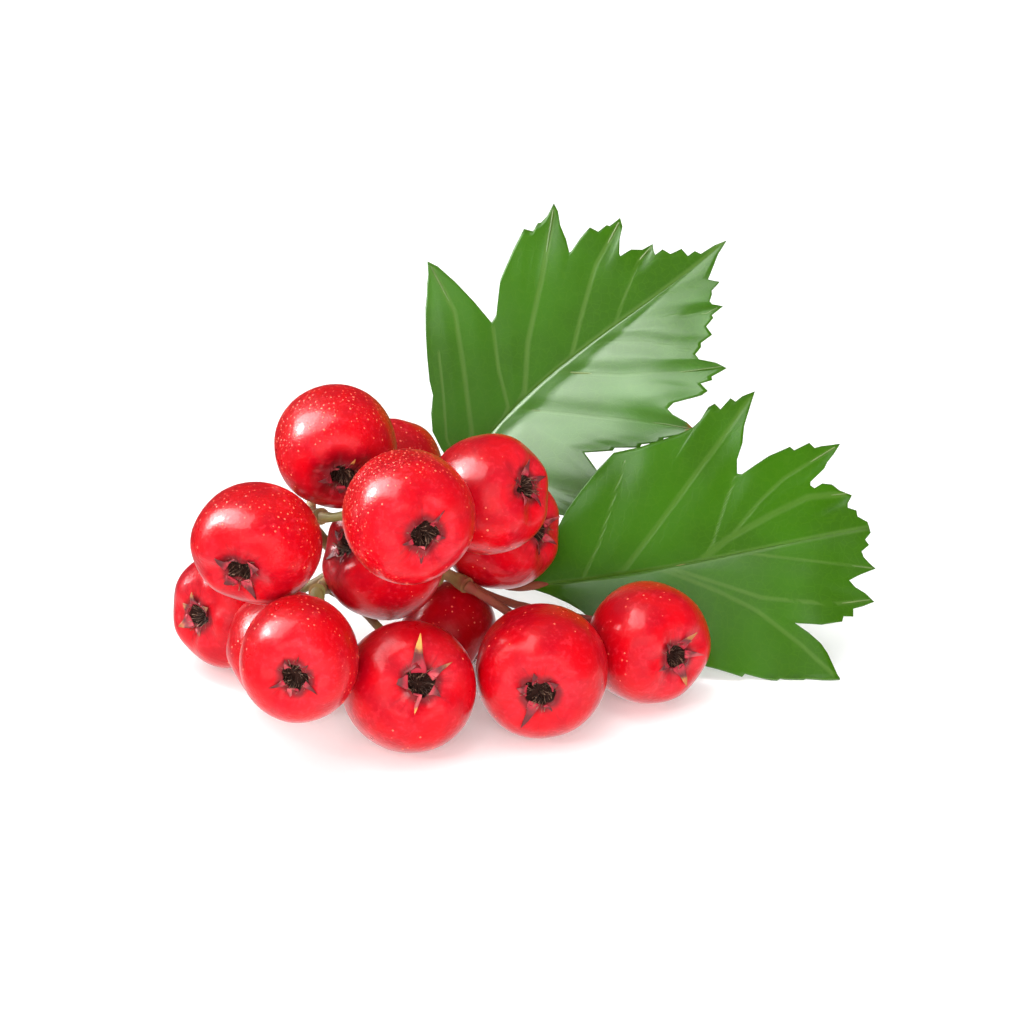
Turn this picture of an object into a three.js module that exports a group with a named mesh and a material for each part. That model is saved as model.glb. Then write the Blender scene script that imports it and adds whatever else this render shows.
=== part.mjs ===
// A cut sprig of a large-fruited hawthorn, lying as it was put down: fourteen haws on their stalks,
// the flower stem that carries them, the piece of twig it grew from, and two lobed leaves.
// Millimetres, +Z up. The surface it lies on is z = 0.

import * as THREE from "three";
import { LoftGeometry } from "three/addons/geometries/LoftGeometry.js";

// ---------------------------------------------------------------- driving sizes

const ORIGIN = [1.52, 14.7, 0]; // middle of the footprint, in the coordinates used below
const GAP = 0.3; // clear space left between pieces that touch

const TWIG_RADIUS = [1.8, 1.45]; // cut end, tip
const STEM_RADIUS = [1.15, 0.95]; // at the twig, at the fork
const BRANCH_RADIUS = [0.75, 0.65];
const STALK_RADIUS = [0.45, 0.55]; // at the branch, at the haw
const PETIOLE_RADIUS = [0.7, 0.5]; // at the twig, at the blade
const BLADE_THICKNESS = 0.5;
const EDGE_THINNING = 0.4; // share of the thickness lost between midrib and edge

const HAW_SIDES = 16;
const HAW_RINGS = 8;
const HAW_LENGTH = 0.9; // half length of a haw over its radius
const PIT_RADIUS = 0.3; // calyx pit over the haw's radius
const PIT_DEPTH = 0.24;

const LIMB_SIDES = 8;
const STALK_SIDES = 6;
const LIMB_STEPS = 8; // sections along a limb or a stalk

// ---------------------------------------------------------------- colours

const SKIN = { color: 0xd8102a, roughness: 0.28, metalness: 0 };
const BARK = { color: 0x6b5138, roughness: 0.8, metalness: 0 };
const GREEN_STALK = { color: 0x9a8a4a, roughness: 0.6, metalness: 0 };
const LEAF = { color: 0x4c8226, roughness: 0.45, metalness: 0 };

// ---------------------------------------------------------------- limbs of the sprig

// Each limb is one cubic curve: where it starts, two pulls, where it ends.
const LIMBS = {
  twig: {
    curve: [[-15.5, 38.5, 1.8], [-13.5, 34, 3], [-12, 29.5, 7], [-11, 25.5, 8.8]],
    radius: TWIG_RADIUS,
  },
  flower_stem: {
    curve: [[-10.94, 25.22, 8.93], [-10.4, 23, 10], [-15, 18.5, 13], [-18, 14.5, 12.5]],
    radius: STEM_RADIUS,
  },
  branch_right: {
    curve: [[-16.85, 13.3, 12.5], [-14, 12.8, 12.3], [-10, 14, 13], [-5, 8, 12]],
    radius: BRANCH_RADIUS,
  },
  branch_upper: {
    curve: [[-19, 13.8, 13.3], [-21.5, 13, 15], [-24, 9, 21], [-20.5, 2.5, 22.5]],
    radius: BRANCH_RADIUS,
  },
  branch_lower: {
    curve: [[-18.5, 12.9, 12], [-18.5, 9.5, 11.8], [-21, 6, 13], [-21, 0.5, 14.5]],
    radius: BRANCH_RADIUS,
  },
};

// ---------------------------------------------------------------- haws

// Centre, diameter, then where the calyx faces: degrees round from +X, degrees above level.
// The stalk: the limb that bears it, how far along, its straight lead off the haw, and its pull.
const HAWS = {
  crest: {
    at: [-18.7, 5.8, 29.3],
    size: 12.9,
    faces: [-84, -10],
    stalk: { bearer: "branch_upper", fraction: 0.66, lead: 3.8, pull: [-21.6, 16.4, 25.2] },
  },
  rear: {
    at: [-13.6, 16.2, 22.5],
    size: 11.8,
    faces: [117, 48],
    stalk: { bearer: "flower_stem", fraction: 0.74, lead: 3.7, pull: [-12, 15, 12.7] },
  },
  face: {
    at: [-10.7, -7.1, 26.4],
    size: 13.6,
    faces: [-73, 1],
    stalk: { bearer: "branch_upper", fraction: 1, lead: 4.1, pull: [-16.2, 0.2, 22.9] },
  },
  shoulder: {
    at: [-2.4, 3.5, 24.7],
    size: 12.7,
    faces: [-33, 22],
    stalk: { bearer: "branch_right", fraction: 0.76, lead: 3.9, pull: [-7.2, 9.2, 20] },
  },
  flank: {
    at: [-1.3, 14, 16.2],
    size: 13.4,
    faces: [-35, 13],
    stalk: { bearer: "branch_right", fraction: 0.54, lead: 4, pull: [-11.1, 14.6, 12.9] },
  },
  left: {
    at: [-26.8, -4.9, 22.7],
    size: 13.6,
    faces: [-107, -8],
    stalk: { bearer: "branch_upper", fraction: 0.83, lead: 3.9, pull: [-23, 4.8, 22.7] },
  },
  far_left: {
    at: [-31.5, 13.6, 6.73],
    size: 13.5,
    faces: [-133, 9],
    stalk: { bearer: "flower_stem", fraction: 0.91, lead: 4, pull: [-19.8, 16.5, 10.5] },
  },
  front_left: {
    at: [-22, -13.1, 12.9],
    size: 12.6,
    faces: [-93, 3],
    stalk: { bearer: "branch_lower", fraction: 1, lead: 3.4, pull: [-21.5, -1.5, 14] },
  },
  core: {
    at: [-13.9, 4.6, 16.8],
    size: 13.2,
    faces: [-151, 28],
    stalk: { bearer: "branch_right", fraction: 0.45, lead: 4, pull: [-11.2, 11, 9.8] },
  },
  nook: {
    at: [-7.2, 11.5, 5.12],
    size: 10.8,
    faces: [-20, -40],
    stalk: { bearer: "branch_right", fraction: 0.35, lead: 3.4, pull: [-13.1, 13.3, 10.9] },
  },
  front: {
    at: [-10.9, -7.2, 6.8],
    size: 14,
    faces: [-76, 28],
    stalk: { bearer: "branch_lower", fraction: 0.67, lead: 4, pull: [-17.7, 3.9, 9.6] },
  },
  front_right: {
    at: [3.1, -3.6, 7.02],
    size: 14.2,
    faces: [-92, 0],
    stalk: { bearer: "branch_right", fraction: 1, lead: 4, pull: [-3.4, 7.3, 11.1] },
  },
  far_right: {
    at: [15, 4.7, 6.54],
    size: 13.3,
    faces: [-57, 4],
    stalk: { bearer: "branch_right", fraction: 0.96, lead: 3.7, pull: [1, 9.6, 7.9] },
  },
  tucked: {
    at: [-24.9, 2, 7.3],
    size: 12.4,
    faces: [156, -22],
    stalk: { bearer: "branch_lower", fraction: 1, lead: 3.7, pull: [-18, -0.4, 14.5] },
  },
};

// ---------------------------------------------------------------- leaves

// A blade is laid out flat, as distances along and across the line from its base to its apex.
// Each pair of lobes has the places on the midrib where its vein and the notch above it begin; each
// side of it has the lobe's tip, the notch above it, and how far its lower edge swells, in mm.
const UPPER_LEAF = {
  length: 41,
  fold: 8.7, // degrees that each half is raised
  bow: 1.8, // sideways curve of the midrib
  curl: 2, // how far the halves roll back at CURL_REACH from the midrib
  base: [-5.9, 32.3, 15.8],
  along: [0.749, 0.269, 0.605],
  across: [-0.638, 0.526, 0.563],
  petiole: [[-10.6, 27, 10], [-10.1, 28, 12.2], [-9, 31, 13.4]],
  lobes: [
    {
      vein: 2.8,
      notch: 7.5,
      left: [[13.5, 21.7], [14.4, 10.9], 2.4],
      right: [[13.7, 18.8], [12.3, 8.3], 2.6],
    },
    {
      vein: 10.5,
      notch: 14,
      left: [[29.3, 16.5], [26.8, 11.4], 2.1],
      right: [[23.2, 14.9], [23.1, 11.2], 1.4],
    },
    {
      vein: 17.5,
      notch: 21.5,
      left: [[33.9, 10.2], [30.8, 7], 0.8],
      right: [[30.8, 11.3], [29.5, 8.7], 1.4],
    },
    {
      vein: 25,
      notch: 30,
      left: [[34.7, 5.3], [34.9, 4.4], 0.5],
      right: [[35.4, 5.6], [35, 4.6], 0.4],
    },
  ],
};

const RIGHT_LEAF = {
  length: 38.7,
  fold: 1.9,
  bow: -0.6,
  curl: 1.2,
  base: [2.4, 15.5, 8.75],
  along: [0.984, 0.11, 0.136],
  across: [-0.169, 0.599, 0.783],
  petiole: [[-9.15, 25.6, 9.3], [-6.5, 23.8, 9.4], [-2.2, 15, 8]],
  lobes: [
    {
      vein: 3,
      notch: 6.5,
      left: [[12, 13.6], [19, 13.5], 1.5],
      right: [[8.5, 9.5], [10.5, 8.2], 1.2],
    },
    {
      vein: 10.5,
      notch: 16,
      left: [[28.3, 16.9], [25.2, 8.2], 1],
      right: [[31.4, 16.3], [28.2, 9.4], 1.1],
    },
    {
      vein: 20,
      notch: 23,
      left: [[36.9, 9.6], [32.1, 5.6], 1.3],
      right: [[37, 8.1], [35.2, 5.4], 1.5],
    },
    {
      vein: 25.5,
      notch: 30,
      left: [[35.7, 5.3], [36.3, 4.2], 0.4],
      right: [[38.3, 4.5], [37.5, 2.8], 0.3],
    },
  ],
};

const CURL_REACH = 20;
const APEX_HALF_WIDTH = 0.15;
const LOWER_EDGE_STEPS = 4; // outline points up the lower edge of a lobe
const UPPER_EDGE_STEPS = 2; // and down its upper edge
const BLADE_COLUMNS = 3; // strips between the midrib and the edge

// ---------------------------------------------------------------- helpers

const vector = (xyz) => new THREE.Vector3(...xyz);

function node(name, geometry, finish) {
  const mesh = new THREE.Mesh(geometry, new THREE.MeshStandardMaterial(finish));
  mesh.name = name;
  return mesh;
}

function curveThrough(points) {
  return new THREE.CubicBezierCurve3(...points.map((point) => (point.isVector3 ? point : vector(point))));
}

// A round limb that tapers from one end of a curve to the other.
function limb(curve, [startRadius, endRadius], sides) {
  const frames = curve.computeFrenetFrames(LIMB_STEPS, false);
  const sections = [];
  for (let i = 0; i <= LIMB_STEPS; i += 1) {
    const centre = curve.getPointAt(i / LIMB_STEPS);
    const radius = THREE.MathUtils.lerp(startRadius, endRadius, i / LIMB_STEPS);
    const ring = [];
    for (let k = 0; k < sides; k += 1) {
      const angle = (k / sides) * Math.PI * 2;
      const point = centre.clone();
      point.addScaledVector(frames.normals[i], radius * Math.cos(angle));
      point.addScaledVector(frames.binormals[i], radius * Math.sin(angle));
      ring.push(point);
    }
    sections.push(ring);
  }
  return new LoftGeometry(sections, { capStart: true, capEnd: true });
}

// ---------------------------------------------------------------- haws and their stalks

function calyxDirection([around, above]) {
  const level = Math.cos(THREE.MathUtils.degToRad(above));
  const turn = THREE.MathUtils.degToRad(around);
  const rise = Math.sin(THREE.MathUtils.degToRad(above));
  return new THREE.Vector3(level * Math.cos(turn), level * Math.sin(turn), rise);
}

// Turned about its axis: a rounded body, flat round the calyx, with the calyx pit sunk into it.
function hawGeometry(size) {
  const radius = size / 2;
  const rimAngle = Math.PI - Math.asin(PIT_RADIUS);
  const profile = [new THREE.Vector2(0, -HAW_LENGTH * radius)];
  for (let i = 1; i <= HAW_RINGS; i += 1) {
    const angle = (rimAngle * i) / HAW_RINGS;
    profile.push(new THREE.Vector2(radius * Math.sin(angle), -HAW_LENGTH * radius * Math.cos(angle)));
  }
  const floor = profile[HAW_RINGS].y - PIT_DEPTH * radius;
  profile.push(new THREE.Vector2(PIT_RADIUS * radius * 0.7, floor));
  profile.push(new THREE.Vector2(0, floor));
  return new THREE.LatheGeometry(profile, HAW_SIDES);
}

function makeHaw(name, { at, size, faces }) {
  const haw = node(`haw_${name}`, hawGeometry(size), SKIN);
  haw.position.set(...at);
  haw.quaternion.setFromUnitVectors(new THREE.Vector3(0, 1, 0), calyxDirection(faces));
  return haw;
}

// How far a stalk starts from the middle line of its limb, which it leaves towards `direction`:
// clear of the limb's end at its tip, and clear of its side anywhere else.
function stalkReach(limbCurve, limbRadius, fraction, direction) {
  const slant = limbCurve.getTangent(fraction).angleTo(direction);
  if (fraction === 1) {
    return limbRadius * Math.sin(slant) + GAP;
  }
  return (limbRadius + STALK_RADIUS[0] * Math.abs(Math.cos(slant)) + GAP) / Math.sin(slant);
}

function makeStalk(name, { at, size, faces, stalk }) {
  const outward = calyxDirection(faces);
  const start = vector(at).addScaledVector(outward, -(HAW_LENGTH * size) / 2 - GAP);
  const leadEnd = start.clone().addScaledVector(outward, -stalk.lead);
  const bearer = LIMBS[stalk.bearer];
  const bearerCurve = curveThrough(bearer.curve);
  const root = bearerCurve.getPoint(stalk.fraction);
  const pull = vector(stalk.pull);
  const direction = pull.clone().sub(root).normalize();
  const limbRadius = THREE.MathUtils.lerp(...bearer.radius, stalk.fraction);
  const reach = stalkReach(bearerCurve, limbRadius, stalk.fraction, direction);
  const end = root.addScaledVector(direction, reach);
  const route = new THREE.CubicBezierCurve3(end, pull, leadEnd, start);
  return node(`stalk_${name}`, limb(route, STALK_RADIUS, STALK_SIDES), GREEN_STALK);
}

// ---------------------------------------------------------------- leaf blades

// Points of one side's outline, from base to apex, each with the place of its vein on the midrib.
function outline(leaf, side) {
  const points = [{ vein: 0, at: new THREE.Vector2(0, PETIOLE_RADIUS[1]) }];
  let lastNotch = points[0].at;
  let lastVein = 0;
  for (const lobe of leaf.lobes) {
    const tip = new THREE.Vector2(...lobe[side][0]);
    const notch = new THREE.Vector2(...lobe[side][1]);
    const swell = lobe[side][2];
    const edge = tip.clone().sub(lastNotch).normalize();
    const outward = new THREE.Vector2(-edge.y, edge.x);
    for (let i = 1; i <= LOWER_EDGE_STEPS; i += 1) {
      const part = i / LOWER_EDGE_STEPS;
      const at = lastNotch.clone().lerp(tip, part).addScaledVector(outward, swell * 4 * part * (1 - part));
      points.push({ vein: THREE.MathUtils.lerp(lastVein, lobe.vein, part), at });
    }
    for (let i = 1; i <= UPPER_EDGE_STEPS; i += 1) {
      const part = i / UPPER_EDGE_STEPS;
      const vein = THREE.MathUtils.lerp(lobe.vein, lobe.notch, part);
      points.push({ vein, at: tip.clone().lerp(notch, part) });
    }
    lastNotch = notch;
    lastVein = lobe.notch;
  }
  const apex = new THREE.Vector2(leaf.length, APEX_HALF_WIDTH);
  for (let i = 1; i <= UPPER_EDGE_STEPS; i += 1) {
    const part = i / UPPER_EDGE_STEPS;
    const vein = THREE.MathUtils.lerp(lastVein, leaf.length, part);
    points.push({ vein, at: lastNotch.clone().lerp(apex, part) });
  }
  return points;
}

// The blade's height over its flat layout: raised halves that roll back towards the edge.
function bladeHeight(leaf, across) {
  const raised = Math.tan(THREE.MathUtils.degToRad(leaf.fold)) * Math.abs(across);
  return raised - leaf.curl * (across / CURL_REACH) ** 2;
}

function bladePoint(leaf, frame, along, across, lift) {
  const point = vector(leaf.base).addScaledVector(frame.along, along).addScaledVector(frame.across, across);
  return point.addScaledVector(frame.up, bladeHeight(leaf, across) + lift);
}

function bladeFrame(leaf) {
  const along = vector(leaf.along).normalize();
  const up = along.clone().cross(vector(leaf.across)).normalize();
  return { along, up, across: up.clone().cross(along) };
}

// One closed blade: each section runs out along a pair of veins and back underneath.
function bladeGeometry(leaf) {
  const frame = bladeFrame(leaf);
  const sides = { left: outline(leaf, "left"), right: outline(leaf, "right") };
  const sections = sides.left.map((leftEdge, index) => {
    const share = leftEdge.vein / leaf.length;
    const midrib = new THREE.Vector2(leftEdge.vein, leaf.bow * 6.75 * share * (1 - share) ** 2);
    const rightEdge = sides.right[index];
    const top = [];
    const bottom = [];
    for (let column = -BLADE_COLUMNS; column <= BLADE_COLUMNS; column += 1) {
      const edge = column > 0 ? leftEdge.at : new THREE.Vector2(rightEdge.at.x, -rightEdge.at.y);
      const reach = Math.abs(column) / BLADE_COLUMNS;
      const flat = midrib.clone().lerp(edge, reach);
      const half = (BLADE_THICKNESS / 2) * (1 - EDGE_THINNING * reach ** 2);
      top.unshift(bladePoint(leaf, frame, flat.x, flat.y, half));
      bottom.push(bladePoint(leaf, frame, flat.x, flat.y, -half));
    }
    return [...top, ...bottom];
  });
  return new LoftGeometry(sections, { capStart: true, capEnd: true });
}

function makeLeaf(name, leaf) {
  const along = vector(leaf.along).normalize();
  const end = vector(leaf.base).addScaledVector(along, -GAP);
  const petiole = curveThrough([...leaf.petiole, end]);
  return [
    node(`leaf_${name}`, bladeGeometry(leaf), LEAF),
    node(`petiole_${name}`, limb(petiole, PETIOLE_RADIUS, STALK_SIDES), GREEN_STALK),
  ];
}

// ---------------------------------------------------------------- the whole sprig

const sprig = new THREE.Group();
for (const [name, { curve, radius }] of Object.entries(LIMBS)) {
  const finish = name === "twig" ? BARK : GREEN_STALK;
  sprig.add(node(name, limb(curveThrough(curve), radius, LIMB_SIDES), finish));
}
for (const [name, haw] of Object.entries(HAWS)) {
  sprig.add(makeHaw(name, haw));
  sprig.add(makeStalk(name, haw));
}
sprig.add(...makeLeaf("upper", UPPER_LEAF));
sprig.add(...makeLeaf("right", RIGHT_LEAF));
sprig.position.set(-ORIGIN[0], -ORIGIN[1], -ORIGIN[2]);

const model = new THREE.Group();
model.add(sprig);

export default model;
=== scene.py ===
"""Finishes a cut hawthorn sprig: haws with their calyxes, stalks, twig and two lobed leaves.

Lengths are millimetres on the sprig's own axes until a mesh is made. A finished mesh is in metres,
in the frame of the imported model.
"""

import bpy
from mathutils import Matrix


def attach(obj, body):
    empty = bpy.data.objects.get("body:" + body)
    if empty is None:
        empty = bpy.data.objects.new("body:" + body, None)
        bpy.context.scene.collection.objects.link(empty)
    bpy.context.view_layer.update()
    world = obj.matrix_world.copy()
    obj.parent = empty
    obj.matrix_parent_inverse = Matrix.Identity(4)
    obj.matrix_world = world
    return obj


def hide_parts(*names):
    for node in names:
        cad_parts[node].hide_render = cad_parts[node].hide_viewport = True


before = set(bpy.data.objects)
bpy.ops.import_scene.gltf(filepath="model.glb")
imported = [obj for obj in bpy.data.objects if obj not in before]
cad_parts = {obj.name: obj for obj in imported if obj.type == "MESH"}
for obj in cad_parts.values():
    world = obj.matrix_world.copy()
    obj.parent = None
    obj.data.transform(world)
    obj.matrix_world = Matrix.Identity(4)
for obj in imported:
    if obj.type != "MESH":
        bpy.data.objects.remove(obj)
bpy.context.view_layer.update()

import logging
import math
import random
from dataclasses import dataclass, field
from enum import Enum
from typing import Any, Sequence

import bpy
from mathutils import Euler, Matrix, Vector

LOG = logging.getLogger("hawthorn_sprig")

MM = 0.001
ORIGIN = Vector((1.52, 14.7, 0.0))
GAP = 0.3
BODY = "root"

Triple = tuple[float, float, float]
Pair = tuple[float, float]
Colour = tuple[float, float, float, float]


def smooth(low: float, high: float, value: float) -> float:
    """Rises from 0 at low to 1 at high with flat ends.

    Args:
        low: Where the rise starts.
        high: Where the rise ends.
        value: Where it is read.

    Returns:
        A number from 0 to 1.
    """
    part = min(max((value - low) / (high - low), 0.0), 1.0)
    return part * part * (3 - 2 * part)


def mix(start: float, end: float, part: float) -> float:
    """Returns the number that lies the given part of the way from start to end."""
    return start + (end - start) * part


def swell(height: float, reach: float, away: float) -> float:
    """Returns a bell curve of that height and reach at a distance from its middle."""
    return height * math.exp(-((away / reach) ** 2))


def cubic(points: Sequence[Vector], part: float) -> Vector:
    """Finds a point of a cubic curve.

    Args:
        points: Its start, two pulls and its end.
        part: How far along, from 0 to 1.

    Returns:
        The point.
    """
    rest = 1 - part
    weights = (rest**3, 3 * rest**2 * part, 3 * rest * part**2, part**3)
    return sum((point * weight for point, weight in zip(points, weights)), Vector())


def cubic_tangent(points: Sequence[Vector], part: float) -> Vector:
    """Returns the unit direction of a cubic curve at a part from 0 to 1."""
    low, high = max(part - 0.001, 0.0), min(part + 0.001, 1.0)
    return (cubic(points, high) - cubic(points, low)).normalized()


# ------------------------------------------------------------------------------------ node trees


@dataclass(frozen=True)
class Value:
    """A number that a node tree works out, so that plain operators add Math nodes."""

    book: "NodeBook"
    socket: bpy.types.NodeSocket

    def math(self, operation: str, *terms: "Value | float") -> "Value":
        """Adds one Math node.

        Args:
            operation: The Math node's operation.
            terms: Its inputs in order.

        Returns:
            What the node gives.
        """
        made = self.book.out("ShaderNodeMath", dict(enumerate(terms)), {"operation": operation})
        return Value(self.book, made)

    def __add__(self, other: "Value | float") -> "Value":
        """Adds."""
        return self.math("ADD", self, other)

    __radd__ = __add__

    def __mul__(self, other: "Value | float") -> "Value":
        """Multiplies."""
        return self.math("MULTIPLY", self, other)

    __rmul__ = __mul__

    def __sub__(self, other: "Value | float") -> "Value":
        """Takes other away."""
        return self.math("SUBTRACT", self, other)

    def __rsub__(self, other: "Value | float") -> "Value":
        """Takes this away from other."""
        return self.math("SUBTRACT", other, self)

    def __truediv__(self, other: "Value | float") -> "Value":
        """Divides."""
        return self.math("DIVIDE", self, other)

    def __pow__(self, other: "Value | float") -> "Value":
        """Raises to a power."""
        return self.math("POWER", self, other)

    def fraction(self) -> "Value":
        """Returns the part after the decimal point."""
        return self.math("FRACT", self)

    def size(self) -> "Value":
        """Returns the number without its sign."""
        return self.math("ABSOLUTE", self)

    def most(self, other: "Value | float") -> "Value":
        """Returns the larger of the two."""
        return self.math("MAXIMUM", self, other)

    def step(self, low: float, high: float) -> "Value":
        """Rises smoothly from 0 where this is low to 1 where it is high.

        Args:
            low: Where the rise starts. It may be larger than high, and then the result falls.
            high: Where the rise ends.

        Returns:
            A number from 0 to 1.
        """
        settings = {"interpolation_type": "SMOOTHSTEP"}
        if low > high:
            return 1 - self.step(high, low)
        inputs = {"Value": self, "From Min": low, "From Max": high}
        return self.book.value(self.book.add("ShaderNodeMapRange", settings, inputs), "Result")


class NodeBook:
    """Adds nodes to one tree."""

    def __init__(self, tree: bpy.types.NodeTree) -> None:
        """Keeps the tree that nodes are added to."""
        self.tree = tree

    def add(
        self, kind: str, settings: dict[str, Any] | None = None, inputs: dict[str | int, Any] | None = None
    ) -> bpy.types.Node:
        """Adds a node of any type.

        Args:
            kind: The node's type.
            settings: Its settings by name.
            inputs: Values or links by the socket's identifier, name or place.

        Returns:
            The node.
        """
        node = self.tree.nodes.new(kind)
        for name, setting in (settings or {}).items():
            setattr(node, name, setting)
        for key, value in (inputs or {}).items():
            socket = self._socket(node, key)
            source = value.socket if isinstance(value, Value) else value
            if isinstance(source, bpy.types.NodeSocket):
                self.tree.links.new(source, socket)
            else:
                socket.default_value = source
        return node

    def out(
        self, kind: str, inputs: dict[str | int, Any] | None = None, settings: dict[str, Any] | None = None
    ) -> bpy.types.NodeSocket:
        """Adds a node of any type, with its inputs and settings. Returns its first output."""
        return self.add(kind, settings, inputs).outputs[0]

    @staticmethod
    def _socket(node: bpy.types.Node, key: str | int) -> bpy.types.NodeSocket:
        """Finds an input.

        Args:
            node: The node that has it.
            key: The socket's identifier, name or place.

        Returns:
            The socket.
        """
        if isinstance(key, int):
            return node.inputs[key]
        for socket in node.inputs:
            if socket.identifier == key:
                return socket
        return node.inputs[key]

    def value(self, node: bpy.types.Node, output: str | int = 0) -> Value:
        """Wraps a node's output, so that it can stand in an expression."""
        return Value(self, node.outputs[output])

    def attribute(self, name: str) -> Value:
        """Reads a number that each vertex holds."""
        return self.value(self.add("ShaderNodeAttribute", {"attribute_name": name}), "Fac")

    def attribute_vector(self, name: str) -> bpy.types.NodeSocket:
        """Reads a vector that each vertex holds."""
        return self.add("ShaderNodeAttribute", {"attribute_name": name}).outputs["Vector"]

    def place(self) -> bpy.types.NodeSocket:
        """Returns the object coordinates."""
        return self.add("ShaderNodeTexCoord").outputs["Object"]

    def noise(self, vector: bpy.types.NodeSocket, scale: float, detail: float = 2.0) -> Value:
        """Adds a noise.

        Args:
            vector: Where it is read.
            scale: How many bumps there are in a unit of the vector.
            detail: How many finer layers it has.

        Returns:
            A number round 0.5.
        """
        inputs = {"Vector": vector, "Scale": scale, "Detail": detail}
        return self.value(self.add("ShaderNodeTexNoise", {}, inputs), "Fac")

    def cells(self, vector: bpy.types.NodeSocket, scale: float, feature: str = "F1") -> Value:
        """Returns the distance to the nearest cell point, or with DISTANCE_TO_EDGE to its edge."""
        inputs = {"Vector": vector, "Scale": scale}
        return self.value(self.add("ShaderNodeTexVoronoi", {"feature": feature}, inputs), "Distance")

    def blend(self, factor: Value | float, first: Any, second: Any) -> bpy.types.NodeSocket:
        """Mixes two colours.

        Args:
            factor: How much of the second there is.
            first: A colour or a colour socket.
            second: A colour or a colour socket.

        Returns:
            The mixed colour's socket.
        """
        inputs = {"Factor_Float": factor, "A_Color": first, "B_Color": second}
        node = self.add("ShaderNodeMix", {"data_type": "RGBA"}, inputs)
        return next(socket for socket in node.outputs if socket.identifier == "Result_Color")


class Finish:
    """A surface finish. A frozen dataclass of each kind holds its colours and measures."""

    slot: str

    def paint(self, book: NodeBook) -> dict[str, Any]:
        """Works out the finish.

        Args:
            book: Adds nodes to the material.

        Returns:
            Values or links for the Principled shader's sockets. "Bump" holds (height, distance in
            metres, strength) in place of a normal.
        """
        raise NotImplementedError

    def material(self) -> bpy.types.Material:
        """Makes the finish's material, or finds it when it is made already.

        Returns:
            The material.
        """
        name = type(self).__name__
        found = bpy.data.materials.get(name)
        if found:
            return found
        made = bpy.data.materials.new(name)
        made.use_nodes = True
        made.node_tree.nodes.clear()
        book = NodeBook(made.node_tree)
        sockets = self.paint(book)
        bump = sockets.pop("Bump", None)
        if bump:
            height, distance, strength = bump
            inputs = {"Height": height, "Distance": distance, "Strength": strength}
            sockets["Normal"] = book.add("ShaderNodeBump", {}, inputs).outputs["Normal"]
        shader = book.add("ShaderNodeBsdfPrincipled", {}, sockets)
        book.add("ShaderNodeOutputMaterial", {}, {"Surface": shader.outputs["BSDF"]})
        return made


@dataclass(frozen=True)
class HawSkin(Finish):
    """Glossy red skin, rosy and streaked round the calyx, with a dark dry pit; some haws get painted shade
    round the calyx.
    """

    slot: str = "haw_skin"
    scarlet: Colour = (0.46, 0.0003, 0.0045, 1)
    crimson: Colour = (0.33, 0.0002, 0.0075, 1)
    orange: Colour = (0.52, 0.0065, 0.0008, 1)
    rose: Colour = (0.56, 0.0270, 0.0400, 1)
    fleck: Colour = (0.57, 0.0170, 0.0300, 1)
    # Dark maroon painted in as shade round the calyx.
    dusk: Colour = (0.060, 0.0003, 0.0030, 1)
    speck: Colour = (0.78, 0.0700, 0.0400, 1)
    streak: Colour = (0.19, 0.0030, 0.0100, 1)
    rim: Colour = (0.130, 0.0110, 0.0140, 1)
    pit: Colour = (0.028, 0.0110, 0.0080, 1)

    def paint(self, book: NodeBook) -> dict[str, Any]:
        """Paints the skin.

        Args:
            book: Adds nodes to the material.

        Returns:
            Values or links for the shader's sockets.
        """
        place = book.place()
        along = book.attribute("toward_calyx")
        freckles = book.attribute("freckles")
        spoke = book.attribute_vector("spoke")
        mottle = book.noise(place, 330, 4)
        broad = book.noise(place, 120, 2)
        colour = book.blend(mottle.step(0.40, 0.66) * 0.75, self.scarlet, self.crimson)
        warm = freckles * along.step(0.78, 0.30) * (0.35 + 0.65 * broad.step(0.36, 0.62))
        colour = book.blend(warm * 0.75, colour, self.orange)
        cloud = book.noise(place, 300, 4).step(0.36, 0.64)
        bloom = along.step(0.72, 0.93) * (0.02 + 0.24 * cloud)
        colour = book.blend(bloom, colour, self.rose)
        # Painted shade: darkens the skin round the calyx, as much as each haw holds.
        shaded = (along + 0.1 * broad).step(0.88, 1.02) * book.attribute("dusk")
        colour = book.blend(shaded, colour, self.dusk)
        dapple = book.noise(place, 1900, 3)
        colour = book.blend(dapple.step(0.50, 0.68) * (0.18 + 0.42 * cloud), colour, self.fleck)
        near = book.cells(place, 2500).step(0.30, 0.13)
        speck = near * book.noise(place, 800, 1).step(0.40, 0.58) * freckles * along.step(0.92, 0.62)
        colour = book.blend(speck * 0.62, colour, self.speck)
        ray = book.noise(spoke, 7.5, 3).step(0.54, 0.68) * along.step(0.80, 0.965)
        colour = book.blend(ray * 0.35, colour, self.streak)
        colour = book.blend(along.step(0.950, 0.992) * 0.9, colour, self.rim)
        hollow = along.step(1.0, 1.06)
        colour = book.blend(hollow, colour, self.pit)
        grain = book.noise(place, 2600, 2)
        height = 0.6 * grain + 1.1 * speck + 1.4 * dapple + 1.2 * cloud * along.step(0.6, 0.9)
        return {
            "Base Color": colour,
            "Roughness": 0.25 + 0.07 * bloom + 0.55 * hollow + 0.08 * mottle,
            "Specular IOR Level": 0.18,
            "Coat Weight": 0.36 * book.attribute("shine") * (1 - hollow),
            "Coat Roughness": 0.16,
            "Coat IOR": 1.4,
            "Bump": (height, 0.000065, 0.50),
        }


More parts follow.
